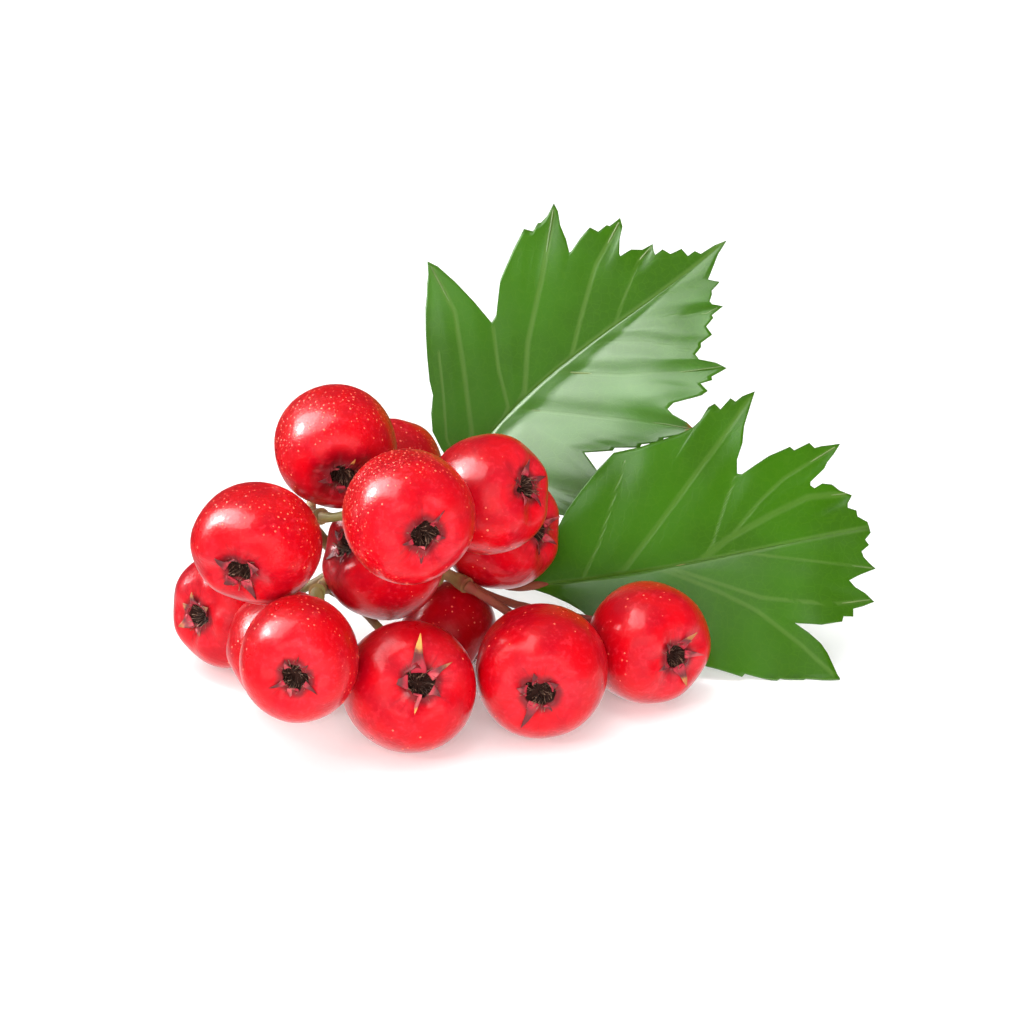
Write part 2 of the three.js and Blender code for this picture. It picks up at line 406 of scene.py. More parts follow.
@dataclass(frozen=True)
class TwoTone(Finish):
    """A plain finish that turns in patches from one colour to another."""

    slot: str = ""
    first: Colour = (1, 1, 1, 1)
    second: Colour = (1, 1, 1, 1)
    patches: Pair = (200, 2)
    turns: Pair = (0.4, 0.6)
    roughness: float = 0.5

    def paint(self, book: NodeBook) -> dict[str, Any]:
        """Paints the patches.

        Args:
            book: Adds nodes to the material.

        Returns:
            Values or links for the shader's sockets.
        """
        shade = book.noise(book.place(), *self.patches).step(*self.turns)
        return {"Base Color": book.blend(shade, self.first, self.second), "Roughness": self.roughness}


@dataclass(frozen=True)
class Lenticel(TwoTone):
    """Corky dots, pale to ruddy."""

    slot: str = "haw_skin"
    first: Colour = (0.76, 0.150, 0.075, 1)
    second: Colour = (0.74, 0.060, 0.034, 1)
    patches: Pair = (1100, 1)
    turns: Pair = (0.38, 0.60)
    roughness: float = 0.42


@dataclass(frozen=True)
class DrySepal(Finish):
    """Withered sepal, flushed rosy at its foot and, on some, yellowish tan at its tip."""

    slot: str = "haw_skin"
    foot: Colour = (0.36, 0.0110, 0.0270, 1)
    middle: Colour = (0.100, 0.0120, 0.0140, 1)
    rosy: Colour = (0.50, 0.0700, 0.0800, 1)
    tip: Colour = (0.62, 0.2600, 0.0500, 1)

    def paint(self, book: NodeBook) -> dict[str, Any]:
        """Paints the sepal.

        Args:
            book: Adds nodes to the material.

        Returns:
            Values or links for the shader's sockets.
        """
        tipward = book.attribute("tipward")
        noise = book.noise(book.place(), 1500, 3)
        colour = book.blend((tipward + 0.4 * noise).step(0.25, 0.70), self.foot, self.middle)
        patch = book.noise(book.place(), 520, 2).step(0.52, 0.64)
        colour = book.blend(patch * 0.55, colour, self.rosy)
        tan = (tipward + 0.5 * noise).step(0.74, 1.0) * book.attribute("tan")
        colour = book.blend(tan, colour, self.tip)
        return {"Base Color": colour, "Roughness": 0.62, "Bump": (noise, 0.00006, 0.6)}


@dataclass(frozen=True)
class DryStyle(Finish):
    """Dry styles and stamen threads."""

    slot: str = "haw_skin"
    dark: Colour = (0.035, 0.0160, 0.0110, 1)
    straw: Colour = (0.210, 0.1150, 0.0700, 1)

    def paint(self, book: NodeBook) -> dict[str, Any]:
        """Paints the threads.

        Args:
            book: Adds nodes to the material.

        Returns:
            Values or links for the shader's sockets.
        """
        noise = book.noise(book.place(), 1400, 2)
        shade = (book.attribute("tipward") * 0.4 + noise).step(0.62, 1.0)
        return {"Base Color": book.blend(shade, self.dark, self.straw), "Roughness": 0.8}


@dataclass(frozen=True)
class LeafBlade(Finish):
    """Waxy green upper face with soft pale veins, and a matt paler underside."""

    slot: str = "leaf"
    green: Colour = (0.0245, 0.0935, 0.0001, 1)
    deep: Colour = (0.0210, 0.0730, 0.0005, 1)
    light: Colour = (0.0400, 0.1120, 0.0025, 1)
    vein: Colour = (0.0780, 0.1450, 0.0240, 1)
    under: Colour = (0.1000, 0.1900, 0.0550, 1)
    scorch: Colour = (0.3000, 0.0700, 0.0150, 1)

    def paint(self, book: NodeBook) -> dict[str, Any]:
        """Paints the blade.

        Args:
            book: Adds nodes to the material.

        Returns:
            Values or links for the shader's sockets.
        """
        place = book.place()
        under = book.attribute("under")
        broad = book.noise(place, 90, 3)
        fine = book.noise(place, 1000, 2)
        net = book.cells(place, 1100, "DISTANCE_TO_EDGE").step(0.09, 0.02)
        away = book.attribute("from_vein")
        side = away.step(1.5, 0.3)
        midrib = book.attribute("from_midrib").step(0.50, 0.15)
        colour = book.blend(broad.step(0.36, 0.66), self.green, self.deep)
        colour = book.blend((fine * 0.5 + 0.30 * net).step(0.2, 0.7) * 0.30, colour, self.light)
        colour = book.blend(side.most(midrib) * book.attribute("pale_veins"), colour, self.vein)
        colour = book.blend(book.attribute("reach").step(0.975, 1.0) * 0.4, colour, self.light)
        colour = book.blend(under, colour, self.under)
        colour = book.blend(book.attribute("scorch").step(0.05, 0.6), colour, self.scorch)
        height = 0.30 * broad + 0.06 * fine - 0.10 * net - 0.55 * away.step(1.2, 0.2)
        return {
            "Base Color": colour,
            "Roughness": 0.30 + 0.30 * under + 0.05 * fine,
            "Specular IOR Level": 0.16,
            "Coat Weight": 0.48 * book.attribute("shine") * (1 - under),
            "Coat Roughness": 0.34,
            "Bump": (height, 0.00010, 0.5),
        }


@dataclass(frozen=True)
class VeinRib(TwoTone):
    """Ribs of a leaf, pale to green."""

    slot: str = "leaf"
    first: Colour = (0.105, 0.1550, 0.0380, 1)
    second: Colour = (0.060, 0.1150, 0.0180, 1)
    patches: Pair = (200, 2)
    turns: Pair = (0.38, 0.62)
    roughness: float = 0.45


@dataclass(frozen=True)
class TanRib(TwoTone):
    """The dry stretch of a midrib, tan to green."""

    slot: str = "leaf"
    first: Colour = (0.200, 0.1550, 0.0480, 1)
    second: Colour = (0.110, 0.1350, 0.0330, 1)
    patches: Pair = (420, 2)
    turns: Pair = (0.45, 0.65)
    roughness: float = 0.55


@dataclass(frozen=True)
class StalkBark(Finish):
    """Green to tan wood of the stalks, ruddy in patches and flushed deep red from one X to another; the
    flush is partly their own red and partly painted shade.
    """

    slot: str = "green_stalk"
    olive: Colour = (0.22, 0.20, 0.055, 1)
    tan: Colour = (0.40, 0.25, 0.10, 1)
    ruddy: Colour = (0.13, 0.040, 0.025, 1)
    # Deep red, partly the stalks' own flush and partly painted shade, dark as the shade among the haws.
    flush: Colour = (0.20, 0.009, 0.013, 1)
    flush_starts: Pair = (-0.012, -0.004)
    flush_ends: Pair = (0.030, 0.020)

    def paint(self, book: NodeBook) -> dict[str, Any]:
        """Paints the stalks.

        Args:
            book: Adds nodes to the material.

        Returns:
            Values or links for the shader's sockets.
        """
        place = book.place()
        patch = book.noise(place, 170, 3)
        colour = book.blend(patch.step(0.4, 0.6), self.olive, self.tan)
        colour = book.blend(book.noise(place, 260, 2).step(0.52, 0.68) * 0.7, colour, self.ruddy)
        rightward = book.value(book.add("ShaderNodeSeparateXYZ", {}, {"Vector": place}), 0)
        # The deep red flush over a stretch of X is partly the stalks' own colour and partly painted shade.
        flush_and_shade_mask = rightward.step(*self.flush_starts) * rightward.step(*self.flush_ends)
        colour = book.blend(flush_and_shade_mask * 0.8, colour, self.flush)
        grain = book.noise(place, 2200, 3)
        bump = (grain + patch, 0.00008, 0.6)
        return {"Base Color": colour, "Roughness": 0.55 + 0.15 * grain, "Bump": bump}


@dataclass(frozen=True)
class TwigBark(Finish):
    """Grey-brown bark of the year's growth, with pale pores."""

    slot: str = "bark"
    brown: Colour = (0.13, 0.070, 0.038, 1)
    grey: Colour = (0.25, 0.21, 0.17, 1)
    crack: Colour = (0.040, 0.024, 0.015, 1)

    def paint(self, book: NodeBook) -> dict[str, Any]:
        """Paints the bark.

        Args:
            book: Adds nodes to the material.

        Returns:
            Values or links for the shader's sockets.
        """
        place = book.place()
        patch = book.noise(place, 240, 4)
        ridge = book.noise(place, 900, 3)
        colour = book.blend(patch.step(0.42, 0.62), self.brown, self.grey)
        colour = book.blend(ridge.step(0.56, 0.70) * 0.7, colour, self.crack)
        return {"Base Color": colour, "Roughness": 0.78, "Bump": (ridge + 0.6 * patch, 0.00018, 0.8)}


@dataclass(frozen=True)
class CutWood(Finish):
    """The twig's cut end: pith, pale wood with rings, and green bast."""

    slot: str = "bark"
    wood: Colour = (0.55, 0.42, 0.24, 1)
    ring: Colour = (0.38, 0.25, 0.12, 1)
    pith: Colour = (0.24, 0.13, 0.06, 1)
    bast: Colour = (0.16, 0.20, 0.06, 1)

    def paint(self, book: NodeBook) -> dict[str, Any]:
        """Paints the cut.

        Args:
            book: Adds nodes to the material.

        Returns:
            Values or links for the shader's sockets.
        """
        outward = book.attribute("outward")
        grain = book.noise(book.place(), 1800, 3)
        rings = ((outward * 4 + 0.2 * grain).fraction() - 0.5).size().step(0.36, 0.5)
        colour = book.blend(rings * 0.6, self.wood, self.ring)
        colour = book.blend(outward.step(0.16, 0.10), colour, self.pith)
        colour = book.blend(outward.step(0.84, 0.90), colour, self.bast)
        return {"Base Color": colour, "Roughness": 0.85, "Bump": (grain, 0.00008, 0.7)}


@dataclass(frozen=True)
class Sweep(Finish):
    """The plain white ground that the sprig lies on, with a faint glow that softens shadows."""

    slot: str = ""
    white: Colour = (0.92, 0.915, 0.91, 1)
    glow: float = 0.15

    def paint(self, book: NodeBook) -> dict[str, Any]:
        """Paints the ground.

        Args:
            book: Adds nodes to the material.

        Returns:
            Values or links for the shader's sockets.
        """
        return {
            "Base Color": self.white,
            "Roughness": 0.9,
            "Specular IOR Level": 0.1,
            "Emission Color": (1, 1, 1, 1),
            "Emission Strength": self.glow,
        }


@dataclass(frozen=True)
class DimSweep(Sweep):
    """The ground as the glossy skins mirror it, bright only near the sprig."""

    white: Colour = (0.85, 0.85, 0.85, 1)
    glow: float = 0.9
    dim: Colour = (0.03, 0.03, 0.03, 1)
    near: float = 0.035
    far: float = 0.075

    def paint(self, book: NodeBook) -> dict[str, Any]:
        """Paints the ground.

        Args:
            book: Adds nodes to the material.

        Returns:
            Values or links for the shader's sockets.
        """
        length = book.add("ShaderNodeVectorMath", {"operation": "LENGTH"}, {"Vector": book.place()})
        away = book.value(length, "Value").step(self.near, self.far)
        return {
            **super().paint(book),
            "Base Color": book.blend(away, self.white, self.dim),
            "Emission Color": book.blend(away, self.white, (0, 0, 0, 1)),
        }


# ------------------------------------------------------------------------------------ meshes


def hold(mesh: bpy.types.Mesh, name: str, values: Sequence[float], kind: str = "FLOAT") -> None:
    """Gives each vertex a number, or with FLOAT_VECTOR a vector out of a flat list."""
    attribute = mesh.attributes.new(name, kind, "POINT")
    attribute.data.foreach_set("value" if kind == "FLOAT" else "vector", values)


@dataclass
class Draft:
    """A mesh that is still being worked out, in millimetres."""

    points: list[Vector] = field(default_factory=list)
    faces: list[tuple[int, ...]] = field(default_factory=list)
    numbers: dict[str, list[float]] = field(default_factory=dict)
    vectors: dict[str, list[float]] = field(default_factory=dict)

    def add(self, point: Vector, **numbers: float) -> None:
        """Adds a vertex.

        Args:
            point: Where it is.
            numbers: The numbers that it holds.
        """
        self.points.append(point)
        for name, number in numbers.items():
            self.numbers.setdefault(name, []).append(number)

    def close_sheets(self, first: int, rows: int, columns: int, turned: bool = False) -> None:
        """Adds the faces of two like sheets, which lie one after the other, and of their edges.

        Args:
            first: The upper sheet's first vertex.
            rows: How many rows of faces a sheet has.
            columns: How many faces a row has.
            turned: Whether the faces turn the other way.
        """
        step = columns + 1
        sheet = (rows + 1) * step
        quads = []
        for row in range(rows):
            for a in range(row * step, row * step + columns):
                quads.append((a, a + step, a + step + 1, a + 1))
                quads.append((sheet + a, sheet + a + 1, sheet + a + step + 1, sheet + a + step))
            a, b = row * step, row * step + columns
            quads.append((a, sheet + a, sheet + a + step, a + step))
            quads.append((b, b + step, sheet + b + step, sheet + b))
        for a in range(columns):
            b = rows * step + a
            quads.append((a, a + 1, sheet + a + 1, sheet + a))
            quads.append((b, sheet + b, sheet + b + 1, b + 1))
        for quad in quads:
            corners = reversed(quad) if turned else quad
            self.faces.append(tuple(first + corner for corner in corners))

    def mesh(self, name: str, in_frame: bool = True) -> bpy.types.Mesh:
        """Makes the mesh.

        Args:
            name: Its name.
            in_frame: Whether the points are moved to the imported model's frame.

        Returns:
            A smooth-shaded mesh in metres.
        """
        shift = ORIGIN if in_frame else Vector()
        made = bpy.data.meshes.new(name)
        made.from_pydata([(point - shift) * MM for point in self.points], [], self.faces)
        for key, values in self.numbers.items():
            hold(made, key, values)
        for key, values in self.vectors.items():
            hold(made, key, values, "FLOAT_VECTOR")
        made.shade_smooth()
        made.validate()
        return made


@dataclass
class Lines:
    """Lines with a radius at each point, ready to be swept."""

    points: list[Vector] = field(default_factory=list)
    edges: list[tuple[int, int]] = field(default_factory=list)
    radii: list[float] = field(default_factory=list)
    ground_gap: float = 0.14

    def add(self, points: Sequence[Vector], radii: Sequence[float]) -> None:
        """Adds one line and keeps it off the ground.

        Args:
            points: Its points.
            radii: Its radius at each of them.
        """
        first = len(self.points)
        for (x, y, z), radius in zip(points, radii):
            self.points.append(Vector((x, y, max(z, radius + self.ground_gap))))
        self.radii.extend(radii)
        self.edges.extend((first + i, first + i + 1) for i in range(len(points) - 1))

    def mesh(self, name: str) -> bpy.types.Mesh:
        """Makes the lines into a mesh of edges.

        Args:
            name: The mesh's name.

        Returns:
            The mesh in the model's frame, in metres.
        """
        made = bpy.data.meshes.new(name)
        made.from_pydata([(point - ORIGIN) * MM for point in self.points], self.edges, [])
        hold(made, "radius", [radius * MM for radius in self.radii])
        return made


def bare_object(mesh: bpy.types.Mesh) -> bpy.types.Object:
    """Puts a mesh in the scene.

    Args:
        mesh: The mesh.

    Returns:
        Its object, at the origin.
    """
    made = bpy.data.objects.new(mesh.name, mesh)
    bpy.context.scene.collection.objects.link(made)
    return made


def joined(name: str, meshes: Sequence[bpy.types.Mesh]) -> bpy.types.Mesh:
    """Joins meshes of one material into one.

    Args:
        name: The new mesh's name.
        meshes: What is joined. Only the first is kept.

    Returns:
        The joined mesh.
    """
    pieces = [bare_object(mesh) for mesh in meshes]
    target = pieces[0]
    with bpy.context.temp_override(
        active_object=target, selected_editable_objects=pieces, selected_objects=pieces
    ):
        bpy.ops.object.join()
    mesh = target.data
    bpy.data.objects.remove(target)
    mesh.name = name
    return mesh


def hand_over(mesh: bpy.types.Mesh, name: str, finish: Finish, stands_for: Sequence[str] = ()) -> None:
    """Makes a finished piece that belongs to the sprig.

    Args:
        mesh: Its mesh, in the model's frame.
        name: Its name.
        finish: Its finish.
        stands_for: The CAD nodes that it is shown in place of.
    """
    if not mesh.materials:
        mesh.materials.append(finish.material())
    mesh.name = name
    piece = bare_object(mesh)
    piece.name = name
    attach(piece, BODY)
    if stands_for:
        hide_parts(*stands_for)
    LOG.info("%s: %d faces, stands for %d nodes", name, len(mesh.polygons), len(stands_for))


class ShapeTree:
    """A geometry node tree that is built once and run on one mesh after another."""

    def __init__(self, name: str, sockets: dict[str, str]) -> None:
        """Makes the tree.

        Args:
            name: The tree's name.
            sockets: Each input's type by its name. Every run gives them all a value.
        """
        self.tree = bpy.data.node_groups.new(name, "GeometryNodeTree")
        self.book = NodeBook(self.tree)
        face = self.tree.interface
        face.new_socket("Geometry", in_out="INPUT", socket_type="NodeSocketGeometry")
        face.new_socket("Geometry", in_out="OUTPUT", socket_type="NodeSocketGeometry")
        self.identifiers: dict[str, str] = {}
        for key, kind in {**sockets, "Material": "Material"}.items():
            socket = face.new_socket(key, in_out="INPUT", socket_type=f"NodeSocket{kind}")
            self.identifiers[key] = socket.identifier
        self.inputs = self.book.add("NodeGroupInput")
        grown = self.grow(self.socket("Geometry"))
        real = self.book.out("GeometryNodeRealizeInstances", {"Geometry": grown})
        inputs = {"Geometry": real, "Material": self.socket("Material")}
        dressed = self.book.out("GeometryNodeSetMaterial", inputs)
        self.book.add("NodeGroupOutput", {}, {"Geometry": dressed})

    def socket(self, name: str) -> bpy.types.NodeSocket:
        """Returns the tree's input of that name."""
        return self.inputs.outputs[name]

    def number(self, name: str) -> Value:
        """Returns the tree's input of that name, for use in an expression."""
        return Value(self.book, self.socket(name))

    def held(self, name: str, kind: str = "FLOAT") -> bpy.types.NodeSocket:
        """Returns what each point holds under that name."""
        return self.book.out("GeometryNodeInputNamedAttribute", {"Name": name}, {"data_type": kind})

    def random(self, low: float, high: float, seed_shift: int) -> Value:
        """Adds a random number for each point.

        Args:
            low: The least.
            high: The most.
            seed_shift: Added to the tree's seed, so that two numbers differ.

        Returns:
            The number.
        """
        seed = self.number("Seed") + float(seed_shift)
        inputs = {"Min_001": low, "Max_001": high, "Seed": seed}
        return self.book.value(self.book.add("FunctionNodeRandomValue", {"data_type": "FLOAT"}, inputs), 1)

    def scaled(self, vector: bpy.types.NodeSocket, scale: Value) -> bpy.types.NodeSocket:
        """Returns a vector times a number."""
        inputs = {"Vector": vector, "Scale": scale}
        return self.book.out("ShaderNodeVectorMath", inputs, {"operation": "SCALE"})

    def vector(self, parts: Sequence[Value | float]) -> bpy.types.NodeSocket:
        """Returns the vector of three numbers."""
        return self.book.out("ShaderNodeCombineXYZ", dict(enumerate(parts)))

    def copies(
        self, points: bpy.types.NodeSocket, shape: str, turn: bpy.types.NodeSocket, size: Any
    ) -> bpy.types.NodeSocket:
        """Sets a copy of an object on each point.

        Args:
            points: The points.
            shape: The input that says which object.
            turn: Each copy's rotation, or its angles about X, Y and Z.
            size: Each copy's size.

        Returns:
            The copies as instances.
        """
        if turn.type == "VECTOR":
            turn = self.book.out("FunctionNodeEulerToRotation", {"Euler": turn})
        seen = self.book.add("GeometryNodeObjectInfo", {}, {"Object": self.socket(shape)})
        inputs = {"Points": points, "Instance": seen.outputs["Geometry"], "Rotation": turn, "Scale": size}
        return self.book.out("GeometryNodeInstanceOnPoints", inputs)

    def grow(self, geometry: bpy.types.NodeSocket) -> bpy.types.NodeSocket:
        """Adds the tree's own nodes.

        Args:
            geometry: What the modifier is run on.

        Returns:
            The made geometry, before instances are realized and the material is set.
        """
        raise NotImplementedError

    def run(self, mesh: bpy.types.Mesh, values: dict[str, Any]) -> bpy.types.Mesh:
        """Runs the tree.

        Args:
            mesh: What it is run on.
            values: Its inputs by name.

        Returns:
            The result as a plain mesh.
        """
        worker = bare_object(mesh)
        modifier = worker.modifiers.new(self.tree.name, "NODES")
        modifier.node_group = self.tree
        for name, value in values.items():
            modifier[self.identifiers[name]] = value
        graph = bpy.context.evaluated_depsgraph_get()
        made = bpy.data.meshes.new_from_object(worker.evaluated_get(graph))
        worker.modifiers.remove(modifier)
        bpy.data.objects.remove(worker)
        return made


class LimbTree(ShapeTree):
    """Sweeps a lumpy round limb along lines whose points hold a radius."""

    def __init__(self) -> None:
        """Makes the tree."""
        super().__init__("swept_limb", {"Sides": "Int", "Lump Height": "Float", "Lump Scale": "Float"})

    def grow(self, geometry: bpy.types.NodeSocket) -> bpy.types.NodeSocket:
        """Sweeps the lines, then moves the skin in and out by a noise.

        Args:
            geometry: What the modifier is run on.

        Returns:
            The skin.
        """
        out = self.book.out
        lines = out("GeometryNodeMeshToCurve", {"Mesh": geometry})
        ring = out("GeometryNodeCurvePrimitiveCircle", {"Resolution": self.socket("Sides"), "Radius": 1.0})
        inputs = {"Curve": lines, "Profile Curve": ring, "Scale": self.held("radius"), "Fill Caps": True}
        tube = out("GeometryNodeCurveToMesh", inputs)
        inputs = {"Vector": out("GeometryNodeInputPosition"), "Scale": self.socket("Lump Scale")}
        lumps = self.book.value(self.book.add("ShaderNodeTexNoise", {}, inputs), "Fac")
        offset = self.scaled(out("GeometryNodeInputNormal"), (lumps - 0.5) * self.number("Lump Height"))
        moved = out("GeometryNodeSetPosition", {"Geometry": tube, "Offset": offset})
        return out("GeometryNodeSetShadeSmooth", {"Geometry": moved})

    def piece(
        self, lines: Lines, name: str, finish: Finish, sides: int, lumps: Pair,
        stands_for: Sequence[str] = (),
    ) -> None:
        """Sweeps lines into a finished piece.

        Args:
            lines: The lines.
            name: The piece's name.
            finish: Its finish.
            sides: How many sides each limb has.
            lumps: How high its lumps are, in metres, and how many there are in a metre.
            stands_for: The CAD nodes that it is shown in place of.
        """
        height, scale = lumps
        values = {"Sides": sides, "Lump Height": height, "Lump Scale": scale, "Material": finish.material()}
        hand_over(self.run(lines.mesh(f"{name}_lines"), values), name, finish, stands_for)


class DotTree(ShapeTree):
    """Scatters small domes over a skin whose points say how thickly, in the number named dots."""

    def __init__(self) -> None:
        """Makes the tree."""
        super().__init__(
            "scattered_dots", {"Dome": "Object", "Spacing": "Float", "Density": "Float", "Seed": "Int"}
        )

    def grow(self, geometry: bpy.types.NodeSocket) -> bpy.types.NodeSocket:
        """Scatters the domes.

        Args:
            geometry: What the modifier is run on.

        Returns:
            The instances.
        """
        inputs = {
            "Mesh": geometry,
            "Distance Min": self.socket("Spacing"),
            "Density Max": self.socket("Density"),
            "Density Factor": self.held("dots"),
            "Seed": self.socket("Seed"),
        }
        settings = {"distribute_method": "POISSON"}
        dots = self.book.add("GeometryNodeDistributePointsOnFaces", settings, inputs).outputs
        return self.copies(dots["Points"], "Dome", dots["Rotation"], self.random(0.6, 1.3, 3))


class SepalTree(ShapeTree):
    """Sets a sepal on each point, by the turn and size that the point holds, and wilts it a little."""

    def __init__(self) -> None:
        """Makes the tree."""
        super().__init__("sepal_ring", {"Sepal": "Object", "Wilt": "Float", "Seed": "Int"})

    def grow(self, geometry: bpy.types.NodeSocket) -> bpy.types.NodeSocket:
        """Sets the sepals round the rim.

        Args:
            geometry: What the modifier is run on.

        Returns:
            The instances.
        """
        turn, size = self.held("turn", "FLOAT_VECTOR"), self.held("size", "FLOAT_VECTOR")
        angles = (self.random(-2.0, 2.0, 1), self.random(-1.0, 1.0, 2), self.random(-0.6, 0.6, 3))
        inputs = {0: turn, 1: self.scaled(self.vector(angles), self.number("Wilt"))}
        wilted = self.book.out("ShaderNodeVectorMath", inputs, {"operation": "ADD"})
        return self.copies(geometry, "Sepal", wilted, size)


class StyleTree(ShapeTree):
    """Fills a pit with leaning threads, and sets ragged spikes round its rim."""

    def __init__(self) -> None:
        """Makes the tree."""
        counts = {"Threads": "Int", "Spikes": "Int", "Seed": "Int"}
        super().__init__(
            "style_tuft", {"Thread": "Object", "Pit Radius": "Float", "Pit Depth": "Float", **counts}
        )

    def _spread(
        self, count: str, share: Value, height: Value, tilt: Value, size: Value, shift: int
    ) -> bpy.types.NodeSocket:
        """Sets threads on points round the pit's middle.

        Args:
            count: The input that says how many.
            share: How far out each point is, as a share of the pit's radius.
            height: How high it is.
            tilt: How far each thread leans outward.
            size: Each thread's size.
            shift: Added to the seed.

        Returns:
            The instances.
        """
        line = self.book.out("GeometryNodeMeshLine", {"Count": self.socket(count), "Offset": (0, 0, 0)})
        around = self.random(0.0, math.tau, shift)
        away = share * self.number("Pit Radius")
        across = (away * around.math("COSINE", around), away * around.math("SINE", around))
        inputs = {"Geometry": line, "Position": self.vector((*across, height))}
        points = self.book.out("GeometryNodeSetPosition", inputs)
        turn = self.vector((0.0, tilt, around + self.random(-0.7, 0.7, shift + 1)))
        return self.copies(points, "Thread", turn, size)

    def grow(self, geometry: bpy.types.NodeSocket) -> bpy.types.NodeSocket:
        """Makes the tuft and the ragged rim.

        Args:
            geometry: What the modifier is run on.

        Returns:
            The instances.
        """
        share, height = self.random(0.0, 1.0, 10) ** 0.5 * 0.8, 0.0 - self.number("Pit Depth")
        tilt, size = self.random(-0.5, 1.2, 11), self.random(0.45, 1.0, 12)
        tuft = self._spread("Threads", share, height, tilt, size, 13)
        share, height = self.random(0.86, 1.06, 20), self.random(-0.0003, 0.0, 21)
        tilt, size = self.random(-0.7, 1.1, 22), self.random(0.2, 0.5, 23)
        rim = self._spread("Spikes", share, height, tilt, size, 24)
        both = self.book.add("GeometryNodeJoinGeometry")
        for part in (tuft, rim):
            self.tree.links.new(part, both.inputs[0])
        return both.outputs[0]


# ------------------------------------------------------------------------------------ limbs


class Bearer(Enum):
    """The limbs that bear haws."""

    STEM = "flower_stem"
    RIGHT = "branch_right"
    UPPER = "branch_upper"
    LOWER = "branch_lower"


@dataclass(frozen=True)
class Limb:
    """A limb on one cubic curve, with its radius at both ends."""

    curve: tuple[Triple, Triple, Triple, Triple]
    radius: Pair

    def points(self) -> list[Vector]:
        """Returns the curve's start, pulls and end."""
        return [Vector(point) for point in self.curve]

    def radius_at(self, part: float) -> float:
        """Returns the radius at a part of the limb's length."""
        return mix(*self.radius, part)


TWIG = Limb(((-15.5, 38.5, 2.1), (-13.5, 34, 3), (-12, 29.5, 7), (-11, 25.5, 8.8)), (1.8, 1.45))
STEM = Limb(((-10.94, 25.22, 8.93), (-10.4, 23, 10), (-15, 18.5, 13), (-18, 14.5, 12.5)), (1.15, 0.95))
THIN = (0.75, 0.65)
LIMBS: dict[Bearer, Limb] = {
    Bearer.STEM: STEM,
    Bearer.RIGHT: Limb(((-16.85, 13.3, 12.5), (-14, 12.8, 12.3), (-10, 14, 13), (-5, 8, 12)), THIN),
    Bearer.UPPER: Limb(((-19, 13.8, 13.3), (-21.5, 13, 15), (-24, 9, 21), (-20.5, 2.5, 22.5)), THIN),
    Bearer.LOWER: Limb(((-18.5, 12.9, 12), (-18.5, 9.5, 11.8), (-21, 6, 13), (-21, 0.5, 14.5)), THIN),
}
STALK_RADIUS = (0.45, 0.55)
PETIOLE_RADIUS = (0.7, 0.5)


@dataclass
class Framework:
    """The twig, the flower stem and its branches."""

    steps: int = 30
    swelling: float = 0.28
    swelling_reach: float = 0.9
    tip_length: float = 0.5
    tip_radius: float = 0.9
    twig_lumps: Pair = (0.00030, 700.0)
    stem_lumps: Pair = (0.00022, 620.0)
    cut_flare: float = 0.22
    cut_height: float = 0.10
    cut_fall: float = 0.16

    def _swollen(self, limb: Limb, part: float, knots: Sequence[float]) -> float:
        """Finds a radius, thicker near knots.

        Args:
            limb: The limb.
            part: How far along it.
            knots: The parts at which it swells.

        Returns:
            The radius.
        """
        points = limb.points()
        here = cubic(points, part)
        near = min((here - cubic(points, knot)).length for knot in knots)
        return limb.radius_at(part) + swell(self.swelling, self.swelling_reach, near)

    def _limb(self, lines: Lines, limb: Limb, knots: Sequence[float], foot: Vector | None) -> None:
        """Adds a limb.

        Args:
            lines: Where it is added.
            limb: The limb.
            knots: The parts at which it swells.
            foot: A point inside the limb that it grows from, or None.
        """
        points = limb.points()
        parts = [i / self.steps for i in range(self.steps + 1)]
        route = [cubic(points, part) for part in parts]
        radii = [self._swollen(limb, part, knots) for part in parts]
        if foot:
            route.insert(0, foot)
            radii.insert(0, radii[0])
        lines.add(route, radii)

    def build(self, limb_tree: LimbTree) -> None:
        """Makes the twig, its cut end, and the flower stem with its branches.

        Args:
            limb_tree: Sweeps the lines.
        """
        twig, stems = Lines(), Lines()
        points = TWIG.points()
        self._limb(twig, TWIG, (0.45, 1.0), None)
        tip = points[3] + cubic_tangent(points, 1) * self.tip_length
        twig.add([points[3], tip], [TWIG.radius[1] + self.swelling, self.tip_radius])
        limb_tree.piece(twig, "twig_bark", TwigBark(), 28, self.twig_lumps, ["twig"])
        self._cut_end(points)

        knots: dict[Bearer, list[float]] = {bearer: [0.0, 1.0] for bearer in Bearer}
        for haw in HAWS:
            knots[haw.stalk.bearer].append(haw.stalk.fraction)
        for bearer, limb in LIMBS.items():
            self._limb(stems, limb, knots[bearer], (TWIG if limb is STEM else STEM).points()[3])
        replaced = [bearer.value for bearer in Bearer]
        limb_tree.piece(stems, "flower_stem_bark", StalkBark(), 18, self.stem_lumps, replaced)

    def _cut_end(self, points: Sequence[Vector]) -> None:
        """Makes the slightly domed cut face at the twig's foot.

        Args:
            points: The twig's curve.
        """
        outward = -cubic_tangent(points, 0)
        turn = outward.to_track_quat("Z", "Y")
        draft = Draft()
        rings, sides = 10, 36
        radius = TWIG.radius[0] + self.cut_flare
        draft.add(points[0] + outward * self.cut_height, outward=0.0)
        for ring in range(1, rings + 1):
            share = ring / rings
            height = self.cut_height - self.cut_fall * share**4
            for side in range(sides):
                angle = math.tau * side / sides
                flat = Vector((math.cos(angle), math.sin(angle), 0)) * radius * share
                draft.add(points[0] + turn @ flat + outward * height, outward=share)
        for side in range(sides):
            draft.faces.append((0, 1 + side, 1 + (side + 1) % sides))
        for ring in range(rings - 1):
            for side in range(sides):
                a, b = 1 + ring * sides + side, 1 + ring * sides + (side + 1) % sides
                draft.faces.append((a, a + sides, b + sides, b))
        hand_over(draft.mesh("twig_cut"), "twig_cut", CutWood())


# ------------------------------------------------------------------------------------ haws


